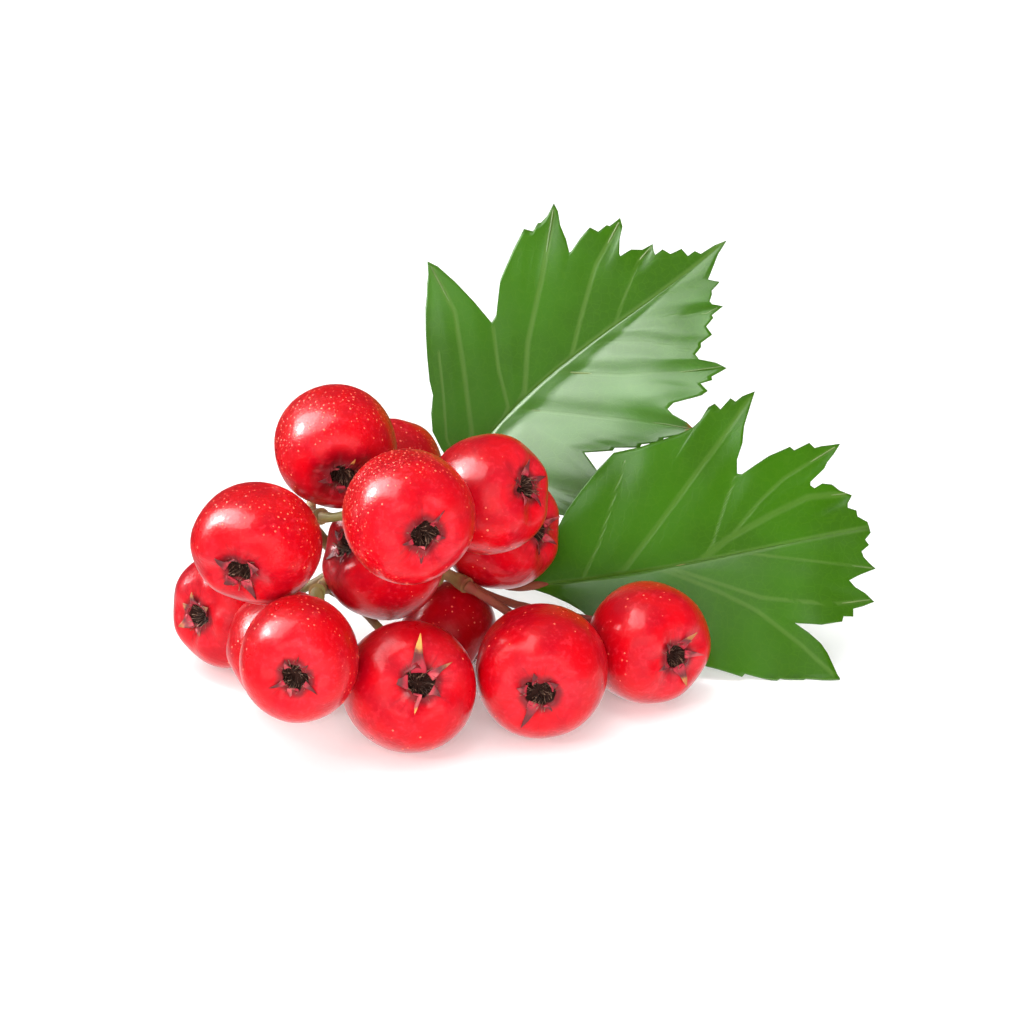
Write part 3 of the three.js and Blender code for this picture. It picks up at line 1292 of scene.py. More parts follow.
@dataclass(frozen=True)
class Stalk:
    """A haw's stalk: its limb, where it leaves it, its straight lead off the haw and its pull."""

    bearer: Bearer
    fraction: float
    lead: float
    pull: Triple


@dataclass(frozen=True)
class Sepal:
    """A dry sepal: its place round the rim in degrees, length, lift in radians, width and tan tip."""

    around: float
    length: float
    lift: float = 0.25
    width: float = 0.8
    tan: float = 0.0


def sepals(*rows: tuple[float, ...]) -> tuple[Sepal, ...]:
    """Returns a sepal for each row of its numbers."""
    return tuple(Sepal(*row) for row in rows)


SPREAD = sepals((95, 1.7, 0.3), (165, 1.3, 0.5), (240, 1.9, 0.2), (310, 1.2, 0.6), (20, 1.6, 0.3))
STANDING = sepals((88, 2.1, 0.8), (160, 1.9, 0.6), (232, 2, 0.7), (305, 1.8, 0.5), (15, 2.1, 0.7))


PIT = (
    (0.97, 0.012, 1.0), (0.93, -0.03, 1.03), (0.88, -0.11, 1.1), (0.72, -0.19, 1.2), (0.4, -0.22, 1.3),
    (0.0, -0.225, 1.4),
)


@dataclass
class Haw:
    """One haw: a rounded body with a calyx pit, sepals, dry styles and dots.

    Its faces are the calyx's bearing and height in degrees. Where length, pit_radius, basin, dimple and
    crown measure the body, it is in half widths. No skin goes under lift, and no dots go under bare or
    nearer the calyx than dotless. A stalk's foot and collar are how thick they are and how many steps long.
    """

    name: str
    at: Triple
    size: float
    faces: Pair
    stalk: Stalk
    sepals: tuple[Sepal, ...] = SPREAD
    freckles: float = 0.5
    seed: int = 1
    # How strongly painted shade darkens the skin round the calyx.
    dusk: float = 0.0
    length: float = 0.9
    stretch: Triple = (1.0, 1.0, 1.0)
    squareness: float = 2.45
    pit_radius: float = 0.225
    basin: float = 0.10
    dimple: float = 0.10
    crown: float = 0.030
    shine: float = 1.0
    lift: float = 0.02
    bare: float = 0.4
    dotless: float = 0.86
    wave_depths: Pair = (0.005, 0.013)
    rag_depths: Pair = (0.03, 0.07)
    rag_height: float = 0.022
    stalk_depth: float = 0.35
    stalk_foot: Pair = (0.22, 2.2)
    stalk_collar: Pair = (0.26, 3.0)
    rings: int = 60
    sides: int = 90

    def axis(self) -> Vector:
        """Works out which way the calyx faces.

        Returns:
            The unit direction on the sprig's axes.
        """
        around, above = (math.radians(angle) for angle in self.faces)
        level = math.cos(above)
        return Vector((level * math.cos(around), level * math.sin(around), math.sin(above)))

    def turn(self) -> Matrix:
        """Returns the rotation from the haw's own axes, with the calyx up, to the sprig's."""
        return self.axis().to_track_quat("Z", "Y").to_matrix().to_4x4()

    def placing(self, height: float = 0.0) -> Matrix:
        """Returns the transform, in metres, from a point on the haw's axis to the model's frame.

        Args:
            height: The point's distance from the haw's centre in millimetres.

        Returns:
            The matrix.
        """
        centre = Vector(self.at) + self.axis() * height - ORIGIN
        return Matrix.Translation(centre * MM) @ self.turn()

    def _profile(self) -> list[tuple[float, float, float]]:
        """Works out the outline.

        Returns:
            Radius, height and how far toward the calyx, from the stalk's end to the pit's floor.
            Beyond the rim the last number is over 1.
        """
        radius = self.size / 2
        power = 2 / self.squareness
        last = math.pi - math.asin(self.pit_radius ** (1 / power))
        rows = []
        for ring in range(self.rings + 1):
            part = ring / self.rings
            angle = last * part
            share = math.sin(angle) ** power
            rise = -math.copysign(abs(math.cos(angle)) ** power, math.cos(angle)) * self.length
            if rise > 0:
                rise -= self.basin * smooth(0.64, self.pit_radius, share) if share < 0.64 else 0.0
            else:
                rise += self.dimple * (1 - smooth(0.02, 0.34, share))
            rows.append((share * radius, rise * radius, part))
        rim = rows[-1][1]
        for share, drop, part in PIT:
            rows.append((share * self.pit_radius * radius, rim + drop * radius, part))
        return rows

    def rim_height(self) -> float:
        """Returns the height of the pit's rim over the haw's centre, in millimetres."""
        return self._profile()[self.rings][1]

    def skin(self) -> bpy.types.Mesh:
        """Makes the skin with its uneven body, which has a low crown of five lobes round the rim.

        Returns:
            The mesh in the model's frame.
        """
        dice = random.Random(self.seed)
        waves, rags = (
            [(order, dice.uniform(*depths), dice.uniform(0, math.tau)) for order in orders]
            for depths, orders in ((self.wave_depths, (1, 2, 3)), (self.rag_depths, (2, 3, 5, 8)))
        )
        first_lobe = math.radians(self.sepals[0].around)
        turn = self.turn().to_3x3()
        centre = Vector(self.at)
        stretch = Matrix.Diagonal(self.stretch)
        draft = Draft()
        spokes = draft.vectors["spoke"] = []

        def put(radius: float, height: float, part: float, angle: float) -> None:
            """Adds one vertex.

            Args:
                radius: Its distance from the axis before the body is made uneven.
                height: Its height over the centre, along the axis.
                part: How far toward the calyx it is.
                angle: Its bearing round the axis.
            """
            lobe = math.cos(5 * (angle - first_lobe)) * smooth(0.55, 0.93, part)
            body = math.sin(math.pi * min(part, 1.0))
            bulge = 1 + self.crown * 0.4 * lobe
            bulge += sum(depth * body * math.sin(order * angle + start) for order, depth, start in waves)
            ragged = smooth(0.93, 1.0, part)
            bulge += sum(depth * ragged * math.sin(order * angle + start) for order, depth, start in rags)
            across = Vector((math.cos(angle), math.sin(angle), 0)) * radius * bulge
            raised = height + self.crown * lobe * self.size / 2 * (1 - 0.5 * ragged)
            raised += ragged * self.rag_height * self.size * math.sin(3 * angle + self.seed) * (radius > 0)
            point = centre + stretch @ (turn @ (across + Vector((0, 0, raised))))
            point.z = max(point.z, self.lift)
            dotted = part < self.dotless and point.z > self.bare
            dots = self.freckles * smooth(self.dotless, 0.50, part) if dotted else 0.0
            # Each vertex holds how much painted shade darkens the skin round its calyx.
            looks = {"freckles": self.freckles, "dusk": self.dusk, "shine": self.shine}
            draft.add(point, toward_calyx=part, dots=dots, **looks)
            spokes.extend((math.cos(angle), math.sin(angle), part * 0.7 + self.seed))

        rows = self._profile()
        put(0.0, rows[0][1], 0.0, 0.0)
        for radius, height, part in rows[1:-1]:
            for side in range(self.sides):
                put(radius, height, part, math.tau * side / self.sides)
        put(0.0, rows[-1][1], rows[-1][2], 0.0)
        last = len(draft.points) - 1
        for side in range(self.sides):
            following = (side + 1) % self.sides
            draft.faces.append((0, 1 + following, 1 + side))
            top = last - self.sides
            draft.faces.append((last, top + side, top + following))
            for ring in range(len(rows) - 3):
                a = 1 + ring * self.sides
                b = a + self.sides
                draft.faces.append((a + side, a + following, b + following, b + side))
        return draft.mesh(f"skin_{self.name}")

    def sepal_points(self) -> bpy.types.Mesh:
        """Makes one point for each sepal, with its turn and size.

        Returns:
            The mesh in metres, with the rim's middle at the origin and the calyx up.
        """
        made = bpy.data.meshes.new("sepal_points")
        ring = self.pit_radius * self.size / 2 * 0.97
        points, turns, sizes = [], [], []
        for sepal in self.sepals:
            around = math.radians(sepal.around)
            height = self.crown * self.size / 4 * 0.5
            points.append(Vector((ring * math.cos(around), ring * math.sin(around), height)) * MM)
            turns.extend((0.0, -sepal.lift, around))
            sizes.extend((sepal.length, sepal.width, 1.0))
        made.from_pydata(points, [], [])
        hold(made, "turn", turns, "FLOAT_VECTOR")
        hold(made, "size", sizes, "FLOAT_VECTOR")
        hold(made, "tan", [sepal.tan for sepal in self.sepals])
        return made

    def stalk_line(self, lines: Lines, steps: int = 26) -> None:
        """Adds the stalk, from inside its limb to inside the haw.

        Args:
            lines: Where it is added.
            steps: How many pieces it has.
        """
        outward = self.axis()
        start = Vector(self.at) - outward * (self.length * self.size / 2 + GAP)
        limb = LIMBS[self.stalk.bearer]
        root = cubic(limb.points(), self.stalk.fraction)
        pull = Vector(self.stalk.pull)
        direction = (pull - root).normalized()
        slant = cubic_tangent(limb.points(), self.stalk.fraction).angle(direction)
        radius = limb.radius_at(self.stalk.fraction)
        if self.stalk.fraction == 1:
            reach = radius * math.sin(slant) + GAP
        else:
            reach = (radius + STALK_RADIUS[0] * abs(math.cos(slant)) + GAP) / math.sin(slant)
        route = [root + direction * reach, pull, start - outward * self.stalk.lead, start]
        points = [root] + [cubic(route, i / steps) for i in range(steps + 1)]
        seat = start + outward * (GAP + self.dimple * self.size / 2 + self.stalk_depth)
        points += [start + (seat - start) * 0.5, seat]
        total = len(points) - 1
        radii = []
        for i in range(total + 1):
            foot = swell(*self.stalk_foot, i)
            collar = swell(*self.stalk_collar, total - i)
            radii.append(mix(*STALK_RADIUS, i / total) + foot + collar)
        lines.add(points, radii)


def sepal_mesh(thickness: float) -> bpy.types.Mesh:
    """Makes a withered sepal 1 mm long and wide, which runs out along X from its foot.

    Args:
        thickness: Its thickness at the foot in millimetres.

    Returns:
        A closed mesh, in metres.
    """
    rows, columns = 12, 6
    draft = Draft()
    for face in (1, -1):
        for row in range(rows + 1):
            part = row / rows
            half = 0.5 * (1 - part) ** 0.9 * (1 + 0.5 * math.sin(math.pi * part) * (1 - part)) + 0.03
            half *= 1 + 0.10 * math.sin(9 * part + 1)
            for column in range(columns + 1):
                across = 2 * column / columns - 1
                fold = 0.16 * across**2 * (1 - part) + 0.03 * math.sin(7 * across + 8 * part)
                bend = 0.10 * math.sin(math.pi * part) - 0.16 * part**2
                sway = 0.10 * math.sin(4.4 * part) * part
                edge = thickness / 2 * (1 - 0.5 * part) * (1 - 0.5 * across**2)
                place = Vector((part - 0.12, half * across + sway, fold + bend + face * edge))
                draft.add(place, tipward=part)
    draft.close_sheets(0, rows, columns)
    return draft.mesh("sepal", in_frame=False)


def thread_mesh(length: float, radius: float) -> bpy.types.Mesh:
    """Makes one dry thread that rises from the origin and bends over.

    Args:
        length: Its length in millimetres.
        radius: Its radius at the foot.

    Returns:
        A closed mesh, in metres.
    """
    rows, sides = 6, 4
    draft = Draft()
    for row in range(rows + 1):
        part = row / rows
        centre = Vector((0.38 * length * part**2, 0.10 * length * math.sin(4 * part), length * part))
        thick = radius * (1 - 0.45 * part) * (1.7 if row == rows else 1)
        for side in range(sides):
            angle = math.tau * side / sides
            draft.add(centre + Vector((math.cos(angle), math.sin(angle), 0)) * thick, tipward=part)
    for row in range(rows):
        for side in range(sides):
            a, b = row * sides + side, row * sides + (side + 1) % sides
            draft.faces.append((a, b, b + sides, a + sides))
    draft.faces.append(tuple(reversed(range(sides))))
    draft.faces.append(tuple(rows * sides + side for side in range(sides)))
    return draft.mesh("thread", in_frame=False)


def dome_mesh(radius: float, height: float) -> bpy.types.Mesh:
    """Makes one low dome that stands on the origin.

    Args:
        radius: Its radius in millimetres.
        height: Its height.

    Returns:
        A mesh in metres.
    """
    sides = 6
    draft = Draft()
    for share, rise in ((1.0, -0.02), (0.66, 0.72 * height)):
        for side in range(sides):
            angle = math.tau * (side + share) / sides
            draft.add(Vector((math.cos(angle) * radius * share, math.sin(angle) * radius * share, rise)))
    draft.add(Vector((0, 0, height)))
    for side in range(sides):
        following = (side + 1) % sides
        draft.faces.append((side, following, sides + following, sides + side))
        draft.faces.append((sides + side, sides + following, 2 * sides))
    return draft.mesh("dome", in_frame=False)


# Some haws carry painted shade that darkens the skin round their calyx.
HAWS: list[Haw] = [
    Haw("crest", (-18.9, 5.8, 29.3), 13.1, (-79, -18), Stalk(Bearer.UPPER, 0.66, 3.8, (-21.6, 16.4, 25.2)),
        sepals((62, 1.6, 0.5, 0.8, 0.8), (130, 0.9, 0.7), (188, 1.4, 0.4), (262, 1.2, 0.3),
               (330, 0.9, 0.6)),
        freckles=0.75, seed=11, dusk=0.7),
    Haw("rear", (-13.6, 16.2, 22.5), 11.8, (117, 48), Stalk(Bearer.STEM, 0.74, 3.7, (-12, 15, 12.7)),
        SPREAD, freckles=0.5, seed=12),
    Haw("face", (-10.7, -7.1, 26.4), 13.7, (-71, 0), Stalk(Bearer.UPPER, 1, 4.1, (-16.2, 0.2, 22.9)),
        sepals((52, 2.1, 0.1, 0.5), (128, 1.1, 0.1, 0.5), (200, 1.3, 0.1, 0.5), (258, 2.2, 0.05, 0.6),
               (345, 1.1, 0.15, 0.5)),
        freckles=1.0, seed=13),
    Haw("shoulder", (-2.4, 3.5, 24.7), 12.8, (-33, 22), Stalk(Bearer.RIGHT, 0.76, 3.9, (-7.2, 9.2, 20)),
        sepals((75, 1.8, 0.6), (150, 1.5, 0.5), (215, 1.7, 0.4), (290, 1.6, 0.6), (5, 1.9, 0.5)),
        freckles=0.2, seed=14),
    Haw("flank", (-1.3, 14, 16.2), 13.4, (-35, 13), Stalk(Bearer.RIGHT, 0.54, 4, (-11.1, 14.6, 12.9)),
        STANDING, freckles=0.1, seed=15, shine=0.6),
    Haw("left", (-26.8, -4.9, 22.5), 13.6, (-107, -14), Stalk(Bearer.UPPER, 0.83, 3.9, (-23, 4.8, 22.7)),
        sepals((150, 1.6, 0.30, 1.3), (92, 1.3, 0.9, 1.4), (300, 2.4, 0.2, 1.2), (22, 1.2, 0.5, 1.4),
               (228, 1.4, 0.3, 1.3)),
        freckles=0.5, seed=16, dusk=0.1, length=0.86, stretch=(1.0, 1.0, 0.93)),
    Haw("far_left", (-31.5, 13.6, 6.73), 13.5, (-133, 9), Stalk(Bearer.STEM, 0.91, 4, (-19.8, 16.5, 10.5)),
        sepals((218, 2.0, 0.3, 1.4, 0.35), (112, 1.5, 0.4, 1.4, 0.45), (160, 1.1, 0.5, 1.2, 0.3),
               (290, 1.2, 0.4, 1.2, 0.2), (40, 1.5, 0.5, 1.2, 0.25)),
        freckles=0.12, seed=17, shine=0.4),
    Haw("front_left", (-22, -13.1, 12.9), 12.6, (-92, 2), Stalk(Bearer.LOWER, 1, 3.4, (-21.5, -1.5, 14)),
        sepals((262, 1.7, 0.1, 1.0), (203, 1.7, 0.15, 0.5), (118, 1.2, 0.5, 0.6), (48, 0.9, 0.7, 0.7),
               (328, 1.8, 0.2, 0.5)),
        freckles=0.5, seed=18, dusk=0.0, length=0.9, stretch=(0.97, 1.0, 1.045)),
    Haw("core", (-13.9, 4.6, 16.8), 13.4, (-151, 28), Stalk(Bearer.RIGHT, 0.45, 4, (-11.2, 11, 9.8)),
        SPREAD, freckles=0.1, seed=19, dusk=0.1, shine=0.6),
    Haw("nook", (-7.2, 11.5, 5.12), 10.8, (-20, -40), Stalk(Bearer.RIGHT, 0.35, 3.4, (-13.1, 13.3, 10.9)),
        SPREAD, freckles=0.1, seed=20, shine=0.4),
    Haw("front", (-10.9, -7.2, 6.9), 14.1, (-74, 29), Stalk(Bearer.LOWER, 0.67, 4, (-10.5, 13.0, 2.6)),
        sepals((90, 4.2, 0.24, 1.4, 1.0), (250, 2.6, 0.20, 0.8, 1.0), (24, 2.8, 0.24, 0.8, 0.3),
               (172, 1.6, 0.15, 1.3), (318, 1.2, 0.25, 1.0)),
        freckles=0.12, seed=21, shine=0.25),
    Haw("front_right", (3.1, -3.6, 7.02), 14.2, (-92, 0), Stalk(Bearer.RIGHT, 1, 4, (-3.4, 7.3, 11.1)),
        sepals((242, 3.1, 0.12, 1.1), (102, 1.4, 0.6, 1), (35, 1, 0.7, 1), (165, 1.1, 0.5, 1),
               (310, 1, 0.4, 1)),
        freckles=0.15, seed=22, shine=0.6),
    Haw("far_right", (15, 4.7, 6.54), 13.3, (-57, 4), Stalk(Bearer.RIGHT, 0.96, 3.7, (1, 9.6, 7.9)),
        sepals((62, 3, 0.9, 1.1, 0.4), (0, 2.1, 0.8), (283, 2.5, 0.4, 1.1, 0.4), (200, 1.6, 0.4),
               (128, 1.7, 0.5)),
        freckles=0.15, seed=23, shine=0.8),
    Haw("tucked", (-24.9, 2, 7.3), 12.4, (156, -22), Stalk(Bearer.LOWER, 1, 1.5, (-20.4, -1.0, 13.4)),
        SPREAD, freckles=0.4, seed=24),
]


@dataclass
class HawCluster:
    """All the haws with their stalks, calyxes and dots. The density is for a square metre."""

    sepal_thickness: float = 0.14
    thread_length: float = 1.7
    thread_radius: float = 0.055
    dot_radius: float = 0.125
    dot_height: float = 0.022
    dot_spacing: float = 0.50
    dot_density: float = 5.0e6
    wilt: float = 0.22
    threads: int = 54
    spikes: int = 22
    pit_depth: float = 0.15
    sink: float = 0.05
    stalk_lumps: Pair = (0.00016, 800.0)

    def build(self, limb_tree: LimbTree) -> None:
        """Makes every piece of the cluster.

        Args:
            limb_tree: Sweeps the stalks.
        """
        sepal = bare_object(sepal_mesh(self.sepal_thickness))
        thread = bare_object(thread_mesh(self.thread_length, self.thread_radius))
        dome = bare_object(dome_mesh(self.dot_radius, self.dot_height))
        sepal_tree, style_tree, dot_tree = SepalTree(), StyleTree(), DotTree()
        looks = {finish: {"Material": finish.material()} for finish in (DrySepal(), DryStyle(), Lenticel())}
        sepals, styles, dots = [], [], []
        stalks = Lines()
        for haw in HAWS:
            skin, seed = haw.skin(), {"Seed": haw.seed}
            half = haw.size / 2 * MM
            values = {"Sepal": sepal, "Wilt": self.wilt, **seed, **looks[DrySepal()]}
            sepals.append(sepal_tree.run(haw.sepal_points(), values))
            sepals[-1].transform(haw.placing(haw.rim_height() - self.sink))
            counts = {"Threads": self.threads, "Spikes": self.spikes}
            pit = {"Pit Radius": haw.pit_radius * half, "Pit Depth": self.pit_depth * half}
            values = {"Thread": thread, **counts, **pit, **seed, **looks[DryStyle()]}
            styles.append(style_tree.run(bpy.data.meshes.new("disc"), values))
            styles[-1].transform(haw.placing(haw.rim_height()))
            thickly = {"Spacing": self.dot_spacing * MM, "Density": self.dot_density}
            dots.append(dot_tree.run(skin, {"Dome": dome, **thickly, **seed, **looks[Lenticel()]}))
            haw.stalk_line(stalks)
            hand_over(skin, f"skin_{haw.name}", HawSkin(), [f"haw_{haw.name}"])
        for helper in (sepal, thread, dome):
            bpy.data.objects.remove(helper)
        hand_over(joined("dry_sepals", sepals), "dry_sepals", DrySepal())
        hand_over(joined("dry_styles", styles), "dry_styles", DryStyle())
        hand_over(joined("lenticels", dots), "lenticels", Lenticel())
        replaced = [f"stalk_{haw.name}" for haw in HAWS]
        limb_tree.piece(stalks, "haw_stalks", StalkBark(), 14, self.stalk_lumps, replaced)


# ------------------------------------------------------------------------------------ leaves


@dataclass(frozen=True)
class HalfBlade:
    """One side of a blade, from the midrib to its outline.

    It is folded up by an angle in degrees and curls back down by a height in millimetres. Its quilt is how
    high it bulges between veins and its wave how far its edge sways. Its runs are stretches of the outline,
    by turns from a notch to a lobe's tip and from a tip to a notch. Distances across are positive.
    """

    sign: int
    fold: float
    curl: float
    quilt: float
    wave: float
    pale_veins: float
    shine: float
    runs: tuple[tuple[Pair, ...], ...]


@dataclass(frozen=True)
class Vein:
    """A vein on the flat layout, where distances across are negative on the right side."""

    points: tuple[Pair, ...]
    width: float

    def distance(self, x: float, y: float) -> float:
        """Measures how far a flat point is from the vein.

        Args:
            x: The point's distance along.
            y: Its distance across.

        Returns:
            The distance in millimetres.
        """
        least = math.inf
        for (ax, ay), (bx, by) in zip(self.points, self.points[1:]):
            rx, ry = bx - ax, by - ay
            part = min(max(((x - ax) * rx + (y - ay) * ry) / (rx * rx + ry * ry), 0.0), 1.0)
            least = min(least, math.hypot(x - ax - rx * part, y - ay - ry * part))
        return least


@dataclass(frozen=True)
class Station:
    """A line from the midrib to the outline. Its lobe share is 1 at a lobe's tip, 0 at a notch."""

    foot: Vector
    rim: Vector
    lobe: float


@dataclass
class Leaf:
    """A lobed, toothed, quilted blade with its midrib and petiole.

    The outline's runs hang from the midrib between stops, which are distances from the base.
    """

    name: str
    length: float
    bow: float
    base: Triple
    along: Triple
    across: Triple
    petiole: tuple[Triple, Triple, Triple]
    stops: tuple[float, ...]
    halves: tuple[HalfBlade, HalfBlade]
    veins: tuple[Vein, ...]
    scorch: Pair | None = None
    tan_stretch: Pair = (0.0, 0.0)
    tip_curl: float = 0.5
    dull_tip: float = 0.75
    seed: int = 1
    curl_reach: float = 20.0
    half_thickness: float = 0.14
    edge_thinning: float = 0.5
    columns: int = 30
    step: float = 0.62
    groove: float = 0.06
    scorch_reach: float = 1.1
    lowest: Pair = (0.32, 0.04)
    rib_radius: Pair = (0.24, 0.06)
    vein_radius: Pair = (0.17, 0.07)
    rib_sink: float = 0.12
    vein_sink: float = 0.20
    petiole_sink: float = 0.22
    petiole_depth: float = 0.9
    petiole_foot: Pair = (0.35, 3.0)
    petiole_tip: float = 0.3
    tan_swelling: float = 0.08

    def axes(self) -> tuple[Vector, Vector, Vector]:
        """Works out the blade's directions.

        Returns:
            The unit directions along, across and up.
        """
        along = Vector(self.along).normalized()
        up = along.cross(Vector(self.across)).normalized()
        return along, up.cross(along), up

    def midrib(self, place: float) -> Vector:
        """Returns the midrib's point in the flat layout at a distance from the base."""
        share = place / self.length
        return Vector((place, self.bow * 6.75 * share * (1 - share) ** 2))

    def lay(self, flat: Vector, lift: float) -> Vector:
        """Sets a point of the flat layout in space.

        Args:
            flat: Its distances along and across.
            lift: Its height over the blade's middle.

        Returns:
            The point on the sprig's own axes.
        """
        along, across, up = self.axes()
        half = self.halves[0 if flat.y > 0 else 1]
        raised = math.tan(math.radians(half.fold)) * abs(flat.y)
        raised -= half.curl * (flat.y / self.curl_reach) ** 2
        return Vector(self.base) + along * flat.x + across * flat.y + up * (raised + lift)

    def stations(self, half: HalfBlade) -> list[Station]:
        """Lists the lines across one half.

        Args:
            half: The half.

        Returns:
            The lines, from the base to the apex.
        """
        corner = Vector((0, PETIOLE_RADIUS[1]))
        found = [Station(self.midrib(0), Vector((0, corner.y * half.sign)), 0.0)]
        for index, run in enumerate(half.runs):
            corners = [corner, *(Vector(point) for point in run)]
            sides = [(b - a).length for a, b in zip(corners, corners[1:])]
            total, gone = sum(sides), 0.0
            for start, end, side in zip(corners, corners[1:], sides):
                steps = max(1, round(side / self.step))
                for step in range(1, steps + 1):
                    part = (gone + side * step / steps) / total
                    rim = start.lerp(end, step / steps)
                    rim.y *= half.sign
                    lobe = 1 - part if index % 2 else part
                    foot = self.midrib(mix(self.stops[index], self.stops[index + 1], part))
                    found.append(Station(foot, rim, lobe))
                gone += side
            corner = corners[-1]
        return found

    def _relief(
        self, half: HalfBlade, station: Station, flat: Vector, reach: float, away: float
    ) -> float:
        """Works out how far a point stands over the smooth blade.

        Args:
            half: The half that it is on.
            station: The line across it.
            flat: Its place in the flat layout.
            reach: How far it is from the midrib to the edge, from 0 to 1.
            away: Its distance from the nearest vein or the midrib in millimetres.

        Returns:
            The height in millimetres.
        """
        width = min(1.0, (station.rim - station.foot).length / 10)
        height = half.quilt * (1 - swell(1.0, 1.5, away)) * (1 - 0.5 * smooth(0.75, 1.0, reach))
        height *= 1 - smooth(0.45, 0.95, station.lobe * reach)
        height -= swell(self.groove, 0.5, reach * width * 10)
        phase = 0.8 * self.seed + half.sign
        sway = math.sin(0.55 * flat.x + phase) + 0.6 * math.sin(1.05 * flat.x + 2.1 * phase)
        height += half.wave * sway * reach**2.5 * width
        return height - self.tip_curl * station.lobe**2 * smooth(0.55, 1.0, reach) * width

    def blade(self) -> bpy.types.Mesh:
        """Makes the blade from two closed halves that meet on the midrib.

        Returns:
            The mesh in the model's frame.
        """
        draft = Draft()
        for half in self.halves:
            stations = self.stations(half)
            first = len(draft.points)
            for face in (1, -1):
                for station in stations:
                    for column in range(self.columns + 1):
                        self._add_vertex(draft, half, station, column / self.columns, face)
            draft.close_sheets(first, len(stations) - 1, self.columns, turned=half.sign < 0)
        return draft.mesh(f"blade_{self.name}")

    def _add_vertex(
        self, draft: Draft, half: HalfBlade, station: Station, reach: float, face: int
    ) -> None:
        """Adds a vertex with what the finish reads.

        Args:
            draft: The mesh.
            half: The half that it is on.
            station: The line across it.
            reach: How far it is from the midrib to the edge.
            face: 1 on the upper face and -1 underneath.
        """
        flat = station.foot.lerp(station.rim, reach)
        gaps = [vein.distance(flat.x, flat.y) for vein in self.veins]
        share = min(gap / vein.width for gap, vein in zip(gaps, self.veins))
        slant = (station.rim - station.foot).normalized().y * half.sign
        from_midrib = (flat - station.foot).length * slant
        away = min(*gaps, from_midrib)
        relief = self._relief(half, station, flat, reach, away)
        half_thickness = self.half_thickness * (1 - self.edge_thinning * reach**2)
        point = self.lay(flat, relief + face * half_thickness)
        point.z = max(point.z, self.lowest[0 if face > 0 else 1])
        shine = half.shine * (1 - self.dull_tip * smooth(0.60, 0.85, flat.x / self.length))
        scorched = 1 - (flat - Vector(self.scorch)).length / self.scorch_reach if self.scorch else 0.0
        draft.add(
            point, pale_veins=half.pale_veins, shine=shine, reach=reach, under=0.0 if face > 0 else 1.0,
            from_vein=min(share, 4.0), from_midrib=from_midrib, scorch=max(0.0, scorched),
        )

    def midrib_line(self, lines: Lines, first: float = 0.0, last: float = 0.985) -> None:
        """Adds the midrib, which stands out a little on both faces.

        Args:
            lines: Where it is added.
            first: The share of the leaf's length where it starts.
            last: The share where it ends.
        """
        steps = 44
        shares = [mix(first, last, i / steps) for i in range(steps + 1)]
        points = [self.lay(self.midrib(self.length * share), -self.rib_sink) for share in shares]
        bulge = self.tan_swelling if first > 0 else 0.0
        radii = [
            mix(*self.rib_radius, share**0.6) + bulge * math.sin(math.pi * i / steps)
            for i, share in enumerate(shares)
        ]
        lines.add(points, radii)

    def under_veins(self, lines: Lines) -> None:
        """Adds the side veins where they stand out underneath.

        Args:
            lines: Where they are added.
        """
        for vein in self.veins:
            points = [Vector(point) for point in vein.points]
            radii = [mix(*self.vein_radius, i / (len(points) - 1)) for i in range(len(points))]
            lines.add([self.lay(point, -self.vein_sink) for point in points], radii)

    def petiole_line(self, lines: Lines) -> None:
        """Adds the petiole, from inside the twig to under the blade's foot.

        Args:
            lines: Where it is added.
        """
        along = self.axes()[0]
        end = Vector(self.base) - along * GAP
        route = [*(Vector(point) for point in self.petiole), end]
        root = route[0] - (route[1] - route[0]).normalized() * self.petiole_depth
        steps = 34
        points = [root] + [cubic(route, i / steps) for i in range(steps + 1)]
        points.append(Vector(self.base) + along * 0.6 + Vector((0, 0, -0.1)))
        points.append(self.lay(self.midrib(1.8), -self.petiole_sink))
        total = len(points) - 1
        foot = self.petiole_foot
        radii = [mix(*PETIOLE_RADIUS, i / total) + swell(*foot, i) for i in range(total + 1)]
        radii[-1] = self.petiole_tip
        lines.add(points, radii)


